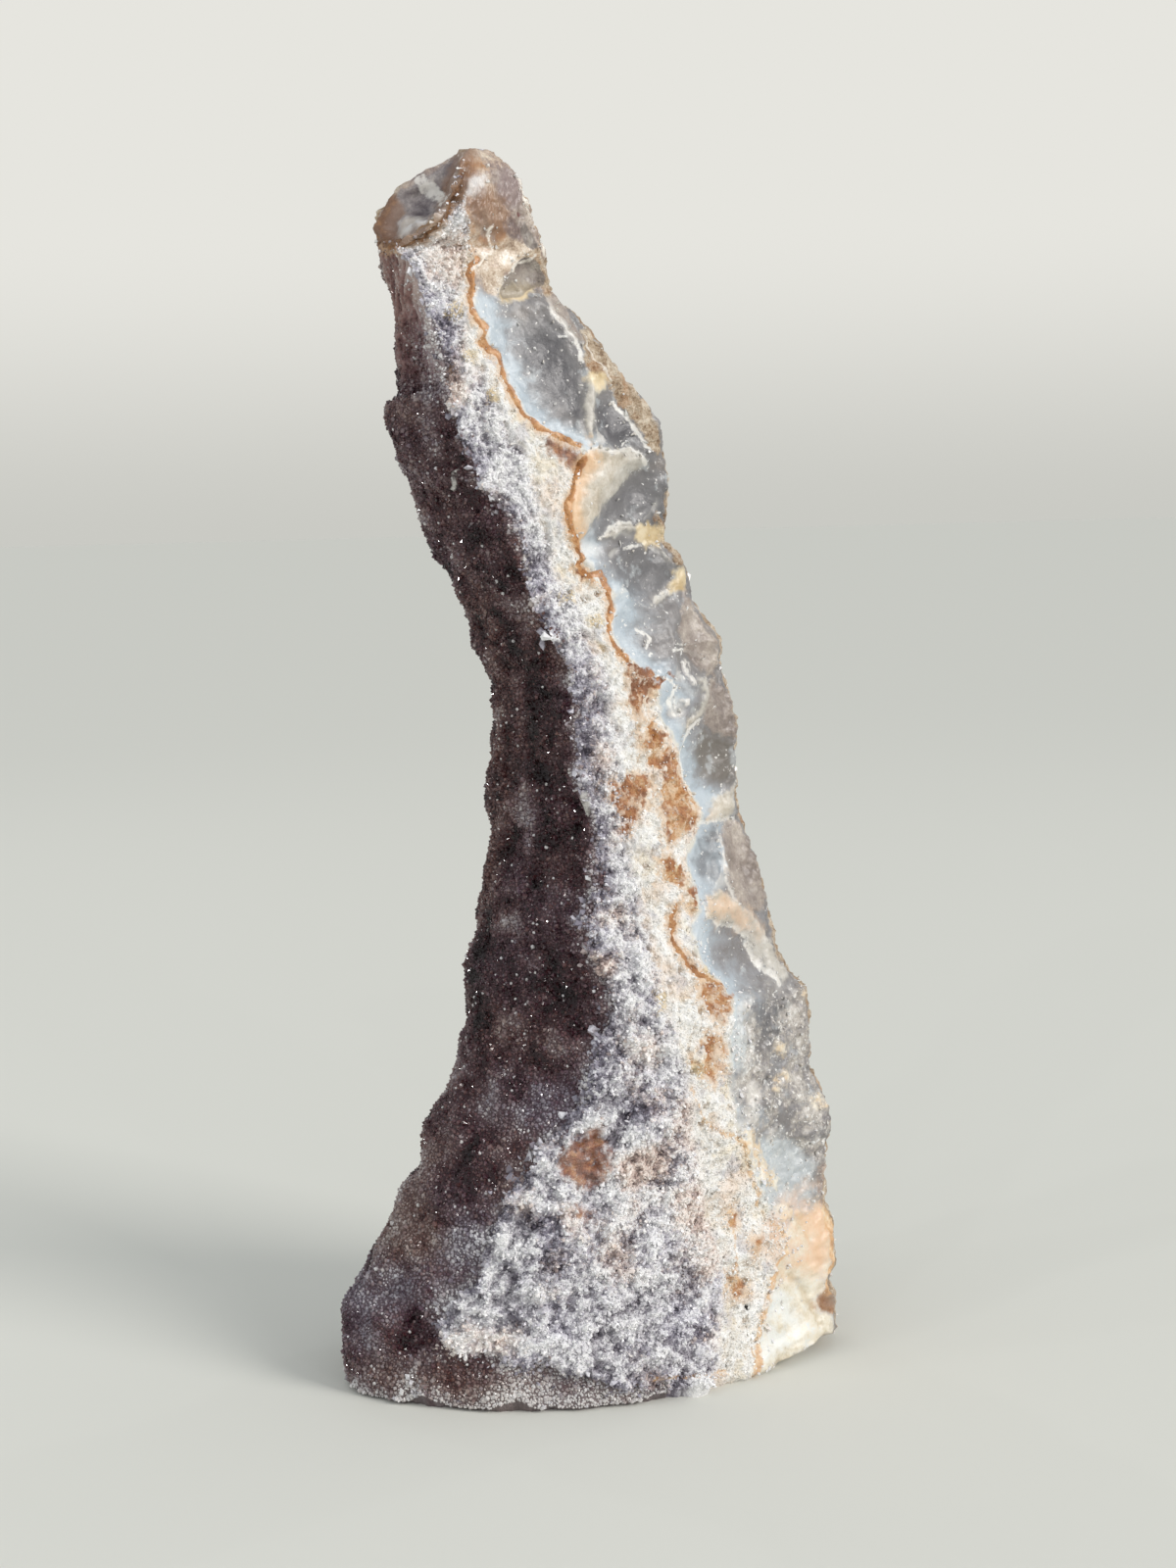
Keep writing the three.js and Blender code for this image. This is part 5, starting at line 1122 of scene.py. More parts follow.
g_front, g_back = ((0.66, 1.4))
g = join_points(quartz_points(g_front, (0, int(first_col[1])), 401), quartz_points(g_back, (int(first_col[1]), n_cols), 411))
rng = np.random.default_rng(402)
order = rng.permutation(len(g[0]))
quartz = []
for name, pick in zip(("quartz_grains_a", "quartz_grains_b"), np.array_split(order, 2)):
    quartz.append(points_mesh(name, g[0][pick], g[1][pick], g[2][pick], g[3][pick], 1.2 * g[2][pick], rng, False,
                              {"grey": g[4][pick], "rosy": g[5][pick], "lavender": g[6][pick], "creamy": g[7][pick]},
                              4, 0.35, 0.35))

# Splinters: small white chips left along the breaks of the chalcedony.
rows_s, cols_s = scatter(0.75, (0, n_cols), 501, 0.5)
rng = np.random.default_rng(502)
glassy_s = sample(is_glassy * (1 - in_pocket), rows_s, cols_s)
along = np.maximum(np.maximum(fields["crest"], fields["crack"]) + 0.5, fields["ironline"] + 0.2)
near_break = smooth(-1.2, 0.2, sample(along, rows_s, cols_s))
flaked = smooth(0.5, 0.0, sample(fields["crest_gap"], rows_s, cols_s)) * smooth(0.1, 0.8, sample(fields["hollow"], rows_s, cols_s))
lumpy = sample(knobbly, rows_s, cols_s)
chance = glassy_s * (0.010 + 0.16 * near_break + 0.10 * flaked + 0.12 * lumpy) + 0.02 * sample(is_skin, rows_s, cols_s)
keep_s = rng.random(len(rows_s)) < chance
rows_s, cols_s = rows_s[keep_s], cols_s[keep_s]
pos, nor = sample(PF, rows_s, cols_s), unit(sample(NF, rows_s, cols_s))
n = len(pos)
size = 0.16 + 0.42 * rng.random(n) ** 3
axis = unit(0.35 * nor + unit(rng.normal(size=(n, 3))))
pos[:, 2] = np.maximum(pos[:, 2], 2.2 * size + 0.1)
chips = points_mesh("splinters", pos, axis, size, size * rng.uniform(1.2, 3.2, n), 1.0 * size, rng, False,
                    {"tone": rng.random(n)}, 4, 0.45, 0.4)


# ---- finishes -------------------------------------------------------------------------
def srgb(code):
    """Linear colour of an sRGB hex code."""
    c = [int(code[k:k + 2], 16) / 255 for k in (0, 2, 4)]
    return tuple(v / 12.92 if v <= 0.04045 else ((v + 0.055) / 1.055) ** 2.4 for v in c) + (1.0,)


class Nodes:
    """A small builder of node trees, so that finishes read top to bottom."""

    def __init__(self, name):
        self.material = bpy.data.materials.new(name)
        self.material.use_nodes = True
        self.tree = self.material.node_tree
        self.tree.nodes.clear()
        self.output = self.add("ShaderNodeOutputMaterial")
        self.count = 0

    def add(self, kind, **settings):
        node = self.tree.nodes.new(kind)
        for key, value in settings.items():
            setattr(node, key, value)
        return node

    def put(self, socket, value):
        if isinstance(value, bpy.types.NodeSocket):
            self.tree.links.new(value, socket)
        else:
            socket.default_value = value

    def attribute(self, name):
        return self.add("ShaderNodeAttribute", attribute_name=name).outputs["Fac"]

    def position(self):
        if not hasattr(self, "_coords"):
            self._coords = self.add("ShaderNodeTexCoord").outputs["Object"]
        return self._coords

    def noise(self, scale, detail=3.0, roughness=0.55, shift=(0, 0, 0), stretch=(1, 1, 1), distortion=0.0, output="Fac"):
        """Noise in object space, `scale` per metre."""
        m = self.add("ShaderNodeMapping")
        self.put(m.inputs["Vector"], self.position())
        m.inputs["Location"].default_value = shift
        m.inputs["Scale"].default_value = stretch
        t = self.add("ShaderNodeTexNoise")
        self.put(t.inputs["Vector"], m.outputs["Vector"])
        t.inputs["Scale"].default_value = scale
        t.inputs["Detail"].default_value = detail
        t.inputs["Roughness"].default_value = roughness
        t.inputs["Distortion"].default_value = distortion
        return t.outputs[output]

    def cells(self, scale, feature="F1", output="Distance", randomness=1.0):
        t = self.add("ShaderNodeTexVoronoi", feature=feature)
        self.put(t.inputs["Vector"], self.position())
        t.inputs["Scale"].default_value = scale
        t.inputs["Randomness"].default_value = randomness
        return t.outputs[output]

    def math(self, operation, a, b=0.0, c=0.0, clamp=False):
        n = self.add("ShaderNodeMath", operation=operation, use_clamp=clamp)
        for s, v in zip(n.inputs, (a, b, c)):
            self.put(s, v)
        return n.outputs[0]

    def step(self, x, low, high, to_low=0.0, to_high=1.0, smooth=True):
        n = self.add("ShaderNodeMapRange", interpolation_type="SMOOTHSTEP" if smooth else "LINEAR")
        for key, v in (("Value", x), ("From Min", low), ("From Max", high), ("To Min", to_low), ("To Max", to_high)):
            self.put(n.inputs[key], v)
        return n.outputs[0]

    def mix(self, fac, a, b, blend="MIX"):
        n = self.add("ShaderNodeMix", data_type="RGBA", blend_type=blend)
        self.put(n.inputs["Factor"], fac)
        sockets = [s for s in n.inputs if s.type == "RGBA"]
        self.put(sockets[0], a if isinstance(a, bpy.types.NodeSocket) else (srgb(a) if isinstance(a, str) else a))
        self.put(sockets[1], b if isinstance(b, bpy.types.NodeSocket) else (srgb(b) if isinstance(b, str) else b))
        return [s for s in n.outputs if s.type == "RGBA"][0]

    def blendf(self, fac, a, b):
        n = self.add("ShaderNodeMix", data_type="FLOAT")
        floats = [s for s in n.inputs if s.type == "VALUE"]
        self.put(floats[0], fac)
        self.put(floats[1], a)
        self.put(floats[2], b)
        return [s for s in n.outputs if s.type == "VALUE"][0]

    def ramp(self, fac, stops, interpolation="LINEAR"):
        n = self.add("ShaderNodeValToRGB")
        r = n.color_ramp
        r.interpolation = interpolation
        while len(r.elements) < len(stops):
            r.elements.new(0.5)
        for e, (at, code) in zip(r.elements, stops):
            e.position = at
            e.color = srgb(code)
        self.put(n.inputs["Fac"], fac)
        return n.outputs["Color"]

    def bump(self, height, distance, strength=1.0, normal=None):
        n = self.add("ShaderNodeBump")
        n.inputs["Strength"].default_value = strength
        n.inputs["Distance"].default_value = distance
        self.put(n.inputs["Height"], height)
        if normal is not None:
            self.put(n.inputs["Normal"], normal)
        return n.outputs["Normal"]

    def principled(self, **inputs):
        n = self.add("ShaderNodeBsdfPrincipled")
        for key, value in inputs.items():
            self.put(n.inputs[key.replace("_", " ")], value)
        self.put(self.output.inputs["Surface"], n.outputs["BSDF"])
        return n


def amethyst_colour(m, tone, warm):
    """Dark clear amethyst to frosted grey, from plum to brown."""
    plum = m.ramp(tone, [(0.0, "1a0a12"), (0.14, "452536"), (0.32, "705766"), (0.60, "a49ca8"), (1.0, "f8f6fa")])
    tan = m.ramp(tone, [(0.0, "200c0c"), (0.14, "522b2a"), (0.32, "835f58"), (0.60, "b29e97"), (1.0, "f9f4f0")])
    return m.mix(warm, plum, tan)


def quartz_colour(m, grey, rose, lavender):
    """White sugary quartz down to grey, with lavender and rose tints."""
    plain = m.ramp(grey, [(0.0, "fcfbfb"), (0.25, "e8e6e9"), (0.50, "b6b2b9"), (0.75, "8a848e"), (1.0, "625b66")])
    cool = m.ramp(grey, [(0.0, "f9f8fc"), (0.25, "dedbe4"), (0.50, "aca8b6"), (0.75, "827c8b"), (1.0, "5c5663")])
    rosy = m.ramp(grey, [(0.0, "fdf4ec"), (0.25, "f0dccf"), (0.50, "c9b1a6"), (0.75, "95807a"), (1.0, "655352")])
    out = m.mix(m.math("MULTIPLY", m.step(lavender, 0.25, 0.75), 0.85), plain, cool)
    return m.mix(m.math("MULTIPLY", m.step(rose, 0.30, 0.80), 0.85), out, rosy)


def cream_colour(m, grey):
    pale = m.ramp(grey, [(0.0, "fefdfb"), (0.28, "f5f2ec"), (0.52, "e0d7cb"), (0.76, "b5a799"), (1.0, "857568")])
    pale = over(m, pale, m.step(m.noise(95, 3, 0.55, (9, 1, 5)), 0.56, 0.68), 0.42, "ead6ad")
    pale = over(m, pale, m.step(m.noise(80, 3, 0.6, (4, 7, 5)), 0.54, 0.68), 0.40, "ecccae")
    return over(m, pale, m.step(m.noise(140, 3, 0.6, (1, 3, 6)), 0.56, 0.68), 0.5, "c2bec4")


def over(m, base, fac, amount, code):
    return m.mix(m.math("MULTIPLY", fac, amount), base, code)


def total(m, *terms):
    """Sum of sockets, numbers, and (socket, factor) pairs."""
    out = 0.0
    for term in terms:
        term = m.math("MULTIPLY", term[0], term[1]) if isinstance(term, tuple) else term
        out = m.math("ADD", term, out)
    return out


# The body: each layer of the geode wall, from the druse through the quartz to the outer skin.
m = Nodes("geode_wall")
wide = m.math("SUBTRACT", m.noise(160, 4, 0.6), 0.5)
fine = m.math("SUBTRACT", m.noise(620, 4, 0.62, (3, 1, 2)), 0.5)
tiny = m.math("SUBTRACT", m.noise(1900, 3, 0.6, (5, 4, 1)), 0.5)
ragged = total(m, (wide, 1.6), (fine, 2.6))
field = lambda name: m.attribute("s_" + name)


def layer(name, low=-0.25, high=0.25, waver=1.0):
    """0 to 1 across the edge of a mapped feature, with a ragged outline."""
    return m.step(total(m, field(name), (ragged, waver)), low, high)


# the white quartz's grey, carrying painted shade in the hollows and crevices of the sugar relief
shade = total(m, field("shade"), (fine, 1.1), (tiny, 0.9))
sugar = quartz_colour(m, shade, field("rosy"), field("lavender"))
ground = amethyst_colour(m, m.math("MULTIPLY", field("pale"), 0.6), field("warmth"))
# The ground between the druse points is mixed towards near black: painted shade in the gaps between the crystals.
ground = m.mix(m.math("MULTIPLY", m.math("SUBTRACT", 1.0, field("above")), 0.58), ground, "12090e")
# The cream is whiter on the crests of the crust and greyer in its hollows and vugs: painted light and shade.
cream = cream_colour(m, total(m, 0.50, (field("crust"), -0.60), (wide, 0.8), (fine, 1.1), (tiny, 0.7), (field("vug"), 0.45)))

# chalcedony: a creamy glow next to the iron line, a pale blue fringe, then grey, smoky in patches
from_line = field("orange")
streak = m.math("SUBTRACT", m.noise(150, 3, 0.55, (2, 2, 8), (0.35, 0.5, 1.0), 0.4), 0.5)
cloud = m.math("SUBTRACT", m.noise(60, 3, 0.5, (6, 6, 2)), 0.5)
mottle = total(m, (fine, 0.55), (tiny, 0.5))
reach = total(m, from_line, (streak, 9.0), (cloud, 14.0), (field("knobbly"), 4.0))
tone = total(m, m.step(reach, 0.0, 13.0), (streak, 0.7), (mottle, 0.7), (wide, 0.35))
glass = m.ramp(tone, [(0.0, "bac3ca"), (0.25, "a9b3bb"), (0.50, "999da2"), (0.80, "8a898b"), (1.0, "7b7776")])
brownish = m.step(m.noise(34, 3, 0.5, (2, 9, 7)), 0.46, 0.62)
glass = over(m, glass, m.math("MULTIPLY", brownish, m.step(reach, 4.0, 11.0)), 0.5, "94897f")
dark = m.math("MULTIPLY", layer("dark", -2.2, 2.6, 0.9), m.step(total(m, from_line, (streak, 4.0)), 1.5, 6.0))
glass = over(m, glass, dark, 0.78, "6b6a6c")
glass = over(m, glass, layer("deep", -1.6, 2.6, 0.9), 0.80, "4c4a4e")
glass = over(m, glass, layer("smoky", -1.8, 2.4, 0.8), 0.86, "6f6860")
milky = m.step(total(m, m.noise(210, 4, 0.6, (4, 4, 4)), (cloud, 0.25)), 0.56, 0.70)
glass = over(m, glass, milky, 0.40, "cfd5d8")
glass = over(m, glass, m.step(total(m, from_line, (fine, 1.6), (streak, 2.0)), 1.6, 0.3), 0.7, "dcd3c3")
knobbly = m.math("MULTIPLY", field("knobbly"), m.step(total(m, m.noise(170, 4, 0.65, (7, 7, 1)), (cloud, 0.6)), 0.38, 0.55))
rubble = m.ramp(total(m, m.noise(300, 4, 0.68, (1, 7, 4)), (tiny, 0.5), (field("crust"), 0.12)),
                [(0.34, "747073"), (0.46, "96918f"), (0.56, "b3aba2"), (0.66, "cdc7bf"), (0.76, "ebe8e3")])
glass = m.mix(m.math("MULTIPLY", knobbly, 0.75), glass, rubble)
knob = m.math("MULTIPLY", m.step(total(m, field("knob"), (ragged, 1.5)), -14.5, -9.0), m.step(field("knob"), -17.0, -15.0))
knob_tone = m.ramp(total(m, m.noise(130, 4, 0.62, (3, 8, 3)), (mottle, 0.9)),
                   [(0.30, "75625c"), (0.42, "937f75"), (0.54, "b29d8b"), (0.66, "cdbba6"), (0.78, "e6dbcb")])
glass = m.mix(m.math("MULTIPLY", knob, 0.92), glass, knob_tone)
glass = over(m, glass, m.math("MULTIPLY", knob, m.step(m.noise(110, 4, 0.62, (8, 8, 2)), 0.54, 0.66)), 0.45, "c8a37c")
crest = m.step(total(m, field("crest_gap"), (fine, 0.5)), 0.18, 0.0)
crest = m.math("MULTIPLY", crest, m.step(field("hollow"), 0.05, 0.4))
glass = over(m, glass, crest, 0.45, "e2ded7")
glass = over(m, glass, layer("crest", -0.3, 0.15, 0.5), 0.75, "eeebe5")
# small white nicks and bruises
nick = m.math("MULTIPLY", m.step(m.cells(560), 0.16, 0.07), m.step(m.noise(140, 2, 0.5, (5, 1, 1)), 0.52, 0.66))
nick = m.math("MAXIMUM", nick, m.step(total(m, m.noise(700, 3, 0.6, (2, 5, 9)), (field("knobbly"), 0.03)), 0.655, 0.685))
nick = m.math("MAXIMUM", nick, m.step(total(m, m.noise(300, 5, 0.72, (7, 5, 3)), (field("knobbly"), 0.05)), 0.665, 0.70))
glass = over(m, glass, nick, 0.66, "f0ede8")

colour = m.mix(layer("quartz", -0.3, 0.3, 0.6), ground, sugar)
colour = m.mix(layer("cream", -2.6, 2.6, 1.8), colour, cream)
rust = m.math("MULTIPLY", layer("rust", -1.6, 1.4, 1.8), m.step(m.noise(280, 4, 0.65, (3, 9, 2)), 0.28, 0.47))
colour = m.mix(m.math("MULTIPLY", rust, 0.88), colour, m.ramp(m.noise(420, 4, 0.6, (4, 3, 3)), [(0.36, "6d3c20"), (0.5, "94572f"), (0.64, "b98457")]))
halo = m.math("MULTIPLY", m.step(total(m, field("iron"), (ragged, 1.4)), -2.8, 0.4), 0.62)
colour = m.mix(halo, colour, "dfbb93")
halo = m.math("MULTIPLY", m.step(total(m, field("ironline"), (ragged, 0.8)), -2.1, -0.1), 0.62)
colour = m.mix(halo, colour, "e2bd95")
is_glass = layer("orange", -0.2, 0.2, 0.16)
colour = m.mix(is_glass, colour, glass)
chunk = m.ramp(total(m, m.noise(120, 4, 0.62, (5, 5, 5)), (mottle, 0.5)),
               [(0.30, "bcae92"), (0.42, "d2c8b3"), (0.54, "dfd8c8"), (0.66, "d6d9d7"), (0.78, "ebe9e4")])
streaks = m.step(m.noise(150, 4, 0.6, (3, 3, 7), (1.0, 1.0, 0.25), 0.6), 0.55, 0.68)
chunk = over(m, chunk, streaks, 0.55, "e2bd94")
colour = over(m, colour, layer("mist", -2.0, 2.4, 1.6), 0.55, "cfd8dc")
colour = m.mix(layer("chunk", -1.8, 2.2, 1.8), colour, chunk)
veil = m.math("MULTIPLY", layer("veil", -3.0, 3.0, 1.8), m.step(m.noise(140, 4, 0.6, (3, 6, 2)), 0.34, 0.60))
colour = over(m, colour, veil, 0.50, "dcae88")
colour = over(m, colour, m.math("MULTIPLY", layer("frost", -2.2, 2.4, 1.8), m.step(m.noise(150, 4, 0.6, (9, 2, 5)), 0.32, 0.56)), 0.62, "dee3e4")
colour = over(m, colour, layer("crease", -0.8, 0.2, 0.5), 0.40, "b8a176")
taupe = m.ramp(total(m, m.noise(150, 4, 0.62, (1, 5, 8)), (mottle, 0.8)),
               [(0.3, "7c6f67"), (0.46, "968980"), (0.60, "ada196"), (0.75, "cdc3b7")])
colour = m.mix(m.math("MULTIPLY", layer("taupe", -0.6, 0.6, 0.8), 0.85), colour, taupe)
near_line = m.step(total(m, from_line, (wide, 4.0)), 5.5, 0.5)
chip = m.ramp(total(m, m.noise(170, 4, 0.62, (8, 2, 1)), (mottle, 0.7)),
              [(0.3, "a89a84"), (0.45, "bfb4a2"), (0.60, "d0c8bb"), (0.75, "e6e1d9")])
chip = m.mix(m.math("MULTIPLY", near_line, 0.60), chip, "dfbc92")
chip = m.mix(m.math("MULTIPLY", m.step(total(m, from_line, (wide, 4.0)), 6.0, 12.0), 0.35), chip, "c3c7c8")
chip_mask = total(m, (layer("cchip", -1.4, 1.9, 1.1), 0.50), (layer("cchip", -0.25, 0.6, 0.8), 0.42))
colour = m.mix(chip_mask, colour, chip)
glow = m.math("MULTIPLY", m.step(total(m, field("ironline"), (ragged, 1.6)), -4.0, -0.3), layer("cchip", -1.0, 0.8, 1.0))
colour = m.mix(m.math("MULTIPLY", glow, 0.50), colour, "d8a976")
islands = m.math("MULTIPLY", layer("islands", -0.7, 0.9, 1.6), m.step(m.noise(260, 4, 0.65, (1, 1, 3)), 0.36, 0.54))
colour = m.mix(m.math("MULTIPLY", islands, 0.80), colour, m.mix(m.step(wide, -0.12, 0.12), "dcc29c", "ebe2d0"))
peach = m.math("MULTIPLY", layer("peach", -2.4, 2.4, 1.6), m.step(m.noise(130, 4, 0.6, (7, 2, 2)), 0.36, 0.58))
colour = over(m, colour, peach, 0.55, "deb691")
colour = m.mix(m.math("MULTIPLY", layer("kcream", -0.6, 0.9, 1.0), 0.85), colour,
               m.ramp(total(m, m.noise(260, 4, 0.66, (2, 9, 9)), (tiny, 0.6), (field("crust"), 0.10)),
                      [(0.32, "8f7864"), (0.44, "b49e88"), (0.55, "cfbda8"), (0.66, "e3d8ca"), (0.78, "f6f1ea")]))
colour = over(m, colour, layer("plum", -1.2, 1.8, 1.0), 0.75, "857271")
amber = m.math("MULTIPLY", layer("amber", -1.6, 1.6, 1.4), m.step(m.noise(150, 4, 0.62, (6, 1, 3)), 0.36, 0.60))
colour = over(m, colour, amber, 0.75, "a9743f")
# pale patches: a painted highlight low in the pocket, and the stone's own white right of it
colour = over(m, colour, layer("milk_and_highlight", -0.8, 1.0, 0.7), 0.75, "dad8d7")
skin = m.ramp(total(m, m.noise(330, 5, 0.68, (3, 3, 8)), (tiny, 0.5), (field("crust"), 0.12)),
              [(0.32, "5f4837"), (0.44, "937b62"), (0.56, "b9a68f"), (0.70, "d8cbb8")])
skin = over(m, skin, m.step(m.noise(140, 3, 0.6, (3, 1, 1)), 0.54, 0.66), 0.45, "ab7a50")
skin_mask = layer("skin", -0.5, 0.5, 0.8)
colour = m.mix(skin_mask, colour, skin)
gold = m.math("MULTIPLY", layer("gold", -0.9, 0.8, 0.7), m.math("MAXIMUM", m.step(fine, -0.32, -0.06), is_glass))
colour = m.mix(m.math("MULTIPLY", gold, 0.74), colour, m.ramp(m.noise(230, 3, 0.6, (4, 1, 2)), [(0.35, "cdb27f"), (0.5, "dfc89b"), (0.65, "eddcb9")]))

# iron staining: broken patches that follow the edge of the chalcedony, and a thin wavy line
iron_tone = total(m, m.noise(230, 5, 0.64, (2, 2, 2)), (tiny, 0.35), (wide, 0.4), (field("lift"), 1.0))
iron = m.ramp(iron_tone, [(0.34, "85502c"), (0.45, "a86b3e"), (0.53, "bb8554"), (0.61, "cda276"), (0.72, "e3cbae")])
bias = m.math("MINIMUM", m.math("MAXIMUM", m.math("MULTIPLY", field("iron"), 0.20), -0.6), 0.15)
iron_mask = m.step(total(m, m.noise(150, 5, 0.60, (8, 3, 1)), bias), 0.43, 0.60)
clear = m.step(total(m, m.noise(420, 4, 0.62, (1, 8, 8)), (field("crust"), 0.10)), 0.64, 0.56)
iron_mask = m.math("MULTIPLY", iron_mask, m.math("ADD", 0.42, m.math("MULTIPLY", clear, 0.58)))
colour = m.mix(m.math("MULTIPLY", iron_mask, 0.92), colour, iron)
line_mask = m.step(total(m, field("ironline"), (wide, 0.9), (fine, 0.9)), -0.16, 0.14)
line = m.ramp(total(m, m.noise(260, 4, 0.6, (5, 2, 7)), (tiny, 0.3)), [(0.34, "966030"), (0.5, "b98049"), (0.64, "d0a373"), (0.76, "e5caa8")])
colour = m.mix(m.math("MULTIPLY", line_mask, 0.92), colour, line)
vein_mask = m.step(total(m, field("vein"), (wide, 1.2), (fine, 1.6)), -0.35, 0.30)
colour = m.mix(m.math("MULTIPLY", vein_mask, 0.8), colour, m.ramp(iron_tone, [(0.34, "b98650"), (0.5, "d3a674"), (0.66, "e6c9a2"), (0.8, "f2e4cf")]))

pocket = m.ramp(total(m, m.noise(190, 4, 0.62, (1, 1, 6)), (mottle, 0.6)),
                [(0.3, "5b5256"), (0.45, "7c7375"), (0.6, "9d9593"), (0.75, "c4bcb4")])
colour = m.mix(layer("pocket", 0.0, 1.0, 0.5), colour, pocket)
# brown: brown stains, and a band of painted shadow inside the near rim of the pocket
colour = over(m, colour, layer("brown", -1.2, 1.0, 0.9), 0.72, "85644c")
# the pale patch inside the pocket: a painted highlight
colour = m.mix(m.math("MULTIPLY", layer("milk_and_highlight", -0.9, 1.2, 0.6), m.math("MULTIPLY", layer("pocket", 0.0, 1.0, 0.5), 0.92)), colour,
               m.ramp(m.noise(160, 3, 0.5, (4, 4, 1)), [(0.35, "bdb3a9"), (0.55, "d8d4d1"), (0.7, "e6e8ea")]))
rim = m.step(total(m, field("rim"), (wide, 1.6), (fine, 1.4)), -1.1, 0.7)
colour = m.mix(m.math("MULTIPLY", rim, 0.75), colour, m.ramp(iron_tone, [(0.36, "69462c"), (0.5, "8d653f"), (0.64, "b28c62"), (0.78, "d6ba96")]))
colour = over(m, colour, m.math("MULTIPLY", layer("chips", -0.3, 0.35, 0.6), m.step(m.noise(420, 3, 0.6, (2, 2, 1)), 0.30, 0.52)), 0.80, "e0dcd6")
smoke = m.ramp(total(m, m.noise(160, 4, 0.6, (9, 9, 4)), (mottle, 0.6)), [(0.34, "6d6460"), (0.5, "867d77"), (0.66, "a39b92")])
smoke_mask = layer("smoke", -0.15, 0.25, 0.25)
colour = m.mix(m.math("MULTIPLY", smoke_mask, 0.92), colour, smoke)
colour = over(m, colour, m.math("MULTIPLY", layer("olive", -1.2, 1.4, 1.2), smoke_mask), 0.50, "98886a")
colour = over(m, colour, layer("crack", -0.25, 0.15, 0.35), 0.8, "f0e9de")
# the small pit is filled with near black: painted shade in the pit
colour = over(m, colour, m.step(field("pit"), 0.35, 0.7), 0.95, "1d1612")
colour = over(m, colour, m.step(field("speck"), 0.35, 0.7), 0.85, "5f2a25")

one_minus_skin = m.math("SUBTRACT", 1.0, skin_mask)
glassy = m.math("MULTIPLY", m.math("MAXIMUM", is_glass, layer("chunk", -1.8, 2.2, 1.8)), one_minus_skin)
glassy = m.math("MULTIPLY", glassy, m.math("SUBTRACT", 1.0, m.math("MULTIPLY", iron_mask, 0.8)))
roughness = m.blendf(glassy, m.math("ADD", 0.55, m.math("MULTIPLY", fine, 0.4)), m.math("ADD", 0.36, m.math("MULTIPLY", fine, 0.5)))
roughness = m.blendf(one_minus_skin, 0.82, roughness)
grain = m.math("MULTIPLY", m.math("SUBTRACT", 1.0, m.math("MULTIPLY", glassy, 0.86)), total(m, tiny, (fine, 1.2)))
normal = m.bump(grain, 0.0006, 1.0)
normal = m.bump(m.noise(800, 3, 0.6, (4, 1, 9)), 0.00012, 0.4, normal)
body = m.principled(Base_Color=colour, Roughness=roughness, IOR=1.54, Normal=normal)
m.put(body.inputs["Subsurface Weight"], m.math("MULTIPLY", glassy, 0.25))
body.inputs["Subsurface Radius"].default_value = (1.0, 0.9, 0.85)
body.inputs["Subsurface Scale"].default_value = 0.0025
for piece in (stone, face):
    piece.data.materials.append(m.material)

# The druse: clear points, from dark amethyst in the middle to greyer, frosted ones at the edges.
m = Nodes("amethyst_points")
druse_shader = m.principled(Base_Color=amethyst_colour(m, m.attribute("tone"), m.attribute("warm")), Roughness=0.09, IOR=1.544)
druse_shader.inputs["Transmission Weight"].default_value = 0.40
druse_shader.inputs["Specular IOR Level"].default_value = 0.38
for piece in druse:
    piece.data.materials.append(m.material)

m = Nodes("quartz_grains")
grain_colour = quartz_colour(m, m.attribute("grey"), m.attribute("rosy"), m.attribute("lavender"))
grain_colour = m.mix(m.attribute("creamy"), grain_colour, cream_colour(m, m.math("MULTIPLY", m.attribute("grey"), 0.45)))
g_shader = m.principled(Base_Color=grain_colour, Roughness=0.30, IOR=1.544)
g_shader.inputs["Transmission Weight"].default_value = 0.20
for piece in quartz:
    piece.data.materials.append(m.material)

m = Nodes("quartz_splinters")
s_shader = m.principled(Base_Color=m.ramp(m.attribute("tone"), [(0.0, "d9d2c8"), (0.5, "ece9e4"), (1.0, "f8f7f5")]), Roughness=0.28, IOR=1.544)
s_shader.inputs["Transmission Weight"].default_value = 0.25
chips.data.materials.append(m.material)


# ---- floor, lights and camera ---------------------------------------------------------
floor_mesh = bpy.data.meshes.new("floor")
floor_mesh.from_pydata([(-30, -30, 0), (30, -30, 0), (30, 30, 0), (-30, 30, 0)], [], [(0, 1, 2, 3)])
floor = bpy.data.objects.new("floor", floor_mesh)
bpy.context.scene.collection.objects.link(floor)
m = Nodes("pale_floor")
matt = m.principled(Base_Color=srgb("d6d6cf"), Roughness=0.90, IOR=1.3)
matt.inputs["Specular IOR Level"].default_value = 0.0
floor_mesh.materials.append(m.material)

SKY_LIGHT = 0.61
world = bpy.data.worlds.new("studio")
bpy.context.scene.world = world
world.use_nodes = True
w = world.node_tree
w.nodes.clear()
out = w.nodes.new("ShaderNodeOutputWorld")
lit = w.nodes.new("ShaderNodeBackground")
lit.inputs["Color"].default_value = (0.935, 0.975, 1.0, 1)
lit.inputs["Strength"].default_value = SKY_LIGHT
seen = w.nodes.new("ShaderNodeBackground")
seen.inputs["Strength"].default_value = 1.0
toward = w.nodes.new("ShaderNodeTexCoord")
parts = w.nodes.new("ShaderNodeSeparateXYZ")
rise_ = w.nodes.new("ShaderNodeMapRange")
rise_.interpolation_type = "SMOOTHSTEP"
rise_.inputs["From Min"].default_value = -0.01
rise_.inputs["From Max"].default_value = 0.12
fade = w.nodes.new("ShaderNodeMix")
fade.data_type = "RGBA"
fade.inputs[6].default_value = srgb("cacac4")
fade.inputs[7].default_value = srgb("e6e5df")
w.links.new(toward.outputs["Generated"], parts.inputs[0])
w.links.new(parts.outputs["Z"], rise_.inputs["Value"])
w.links.new(rise_.outputs[0], fade.inputs[0])
w.links.new(fade.outputs[2], seen.inputs["Color"])
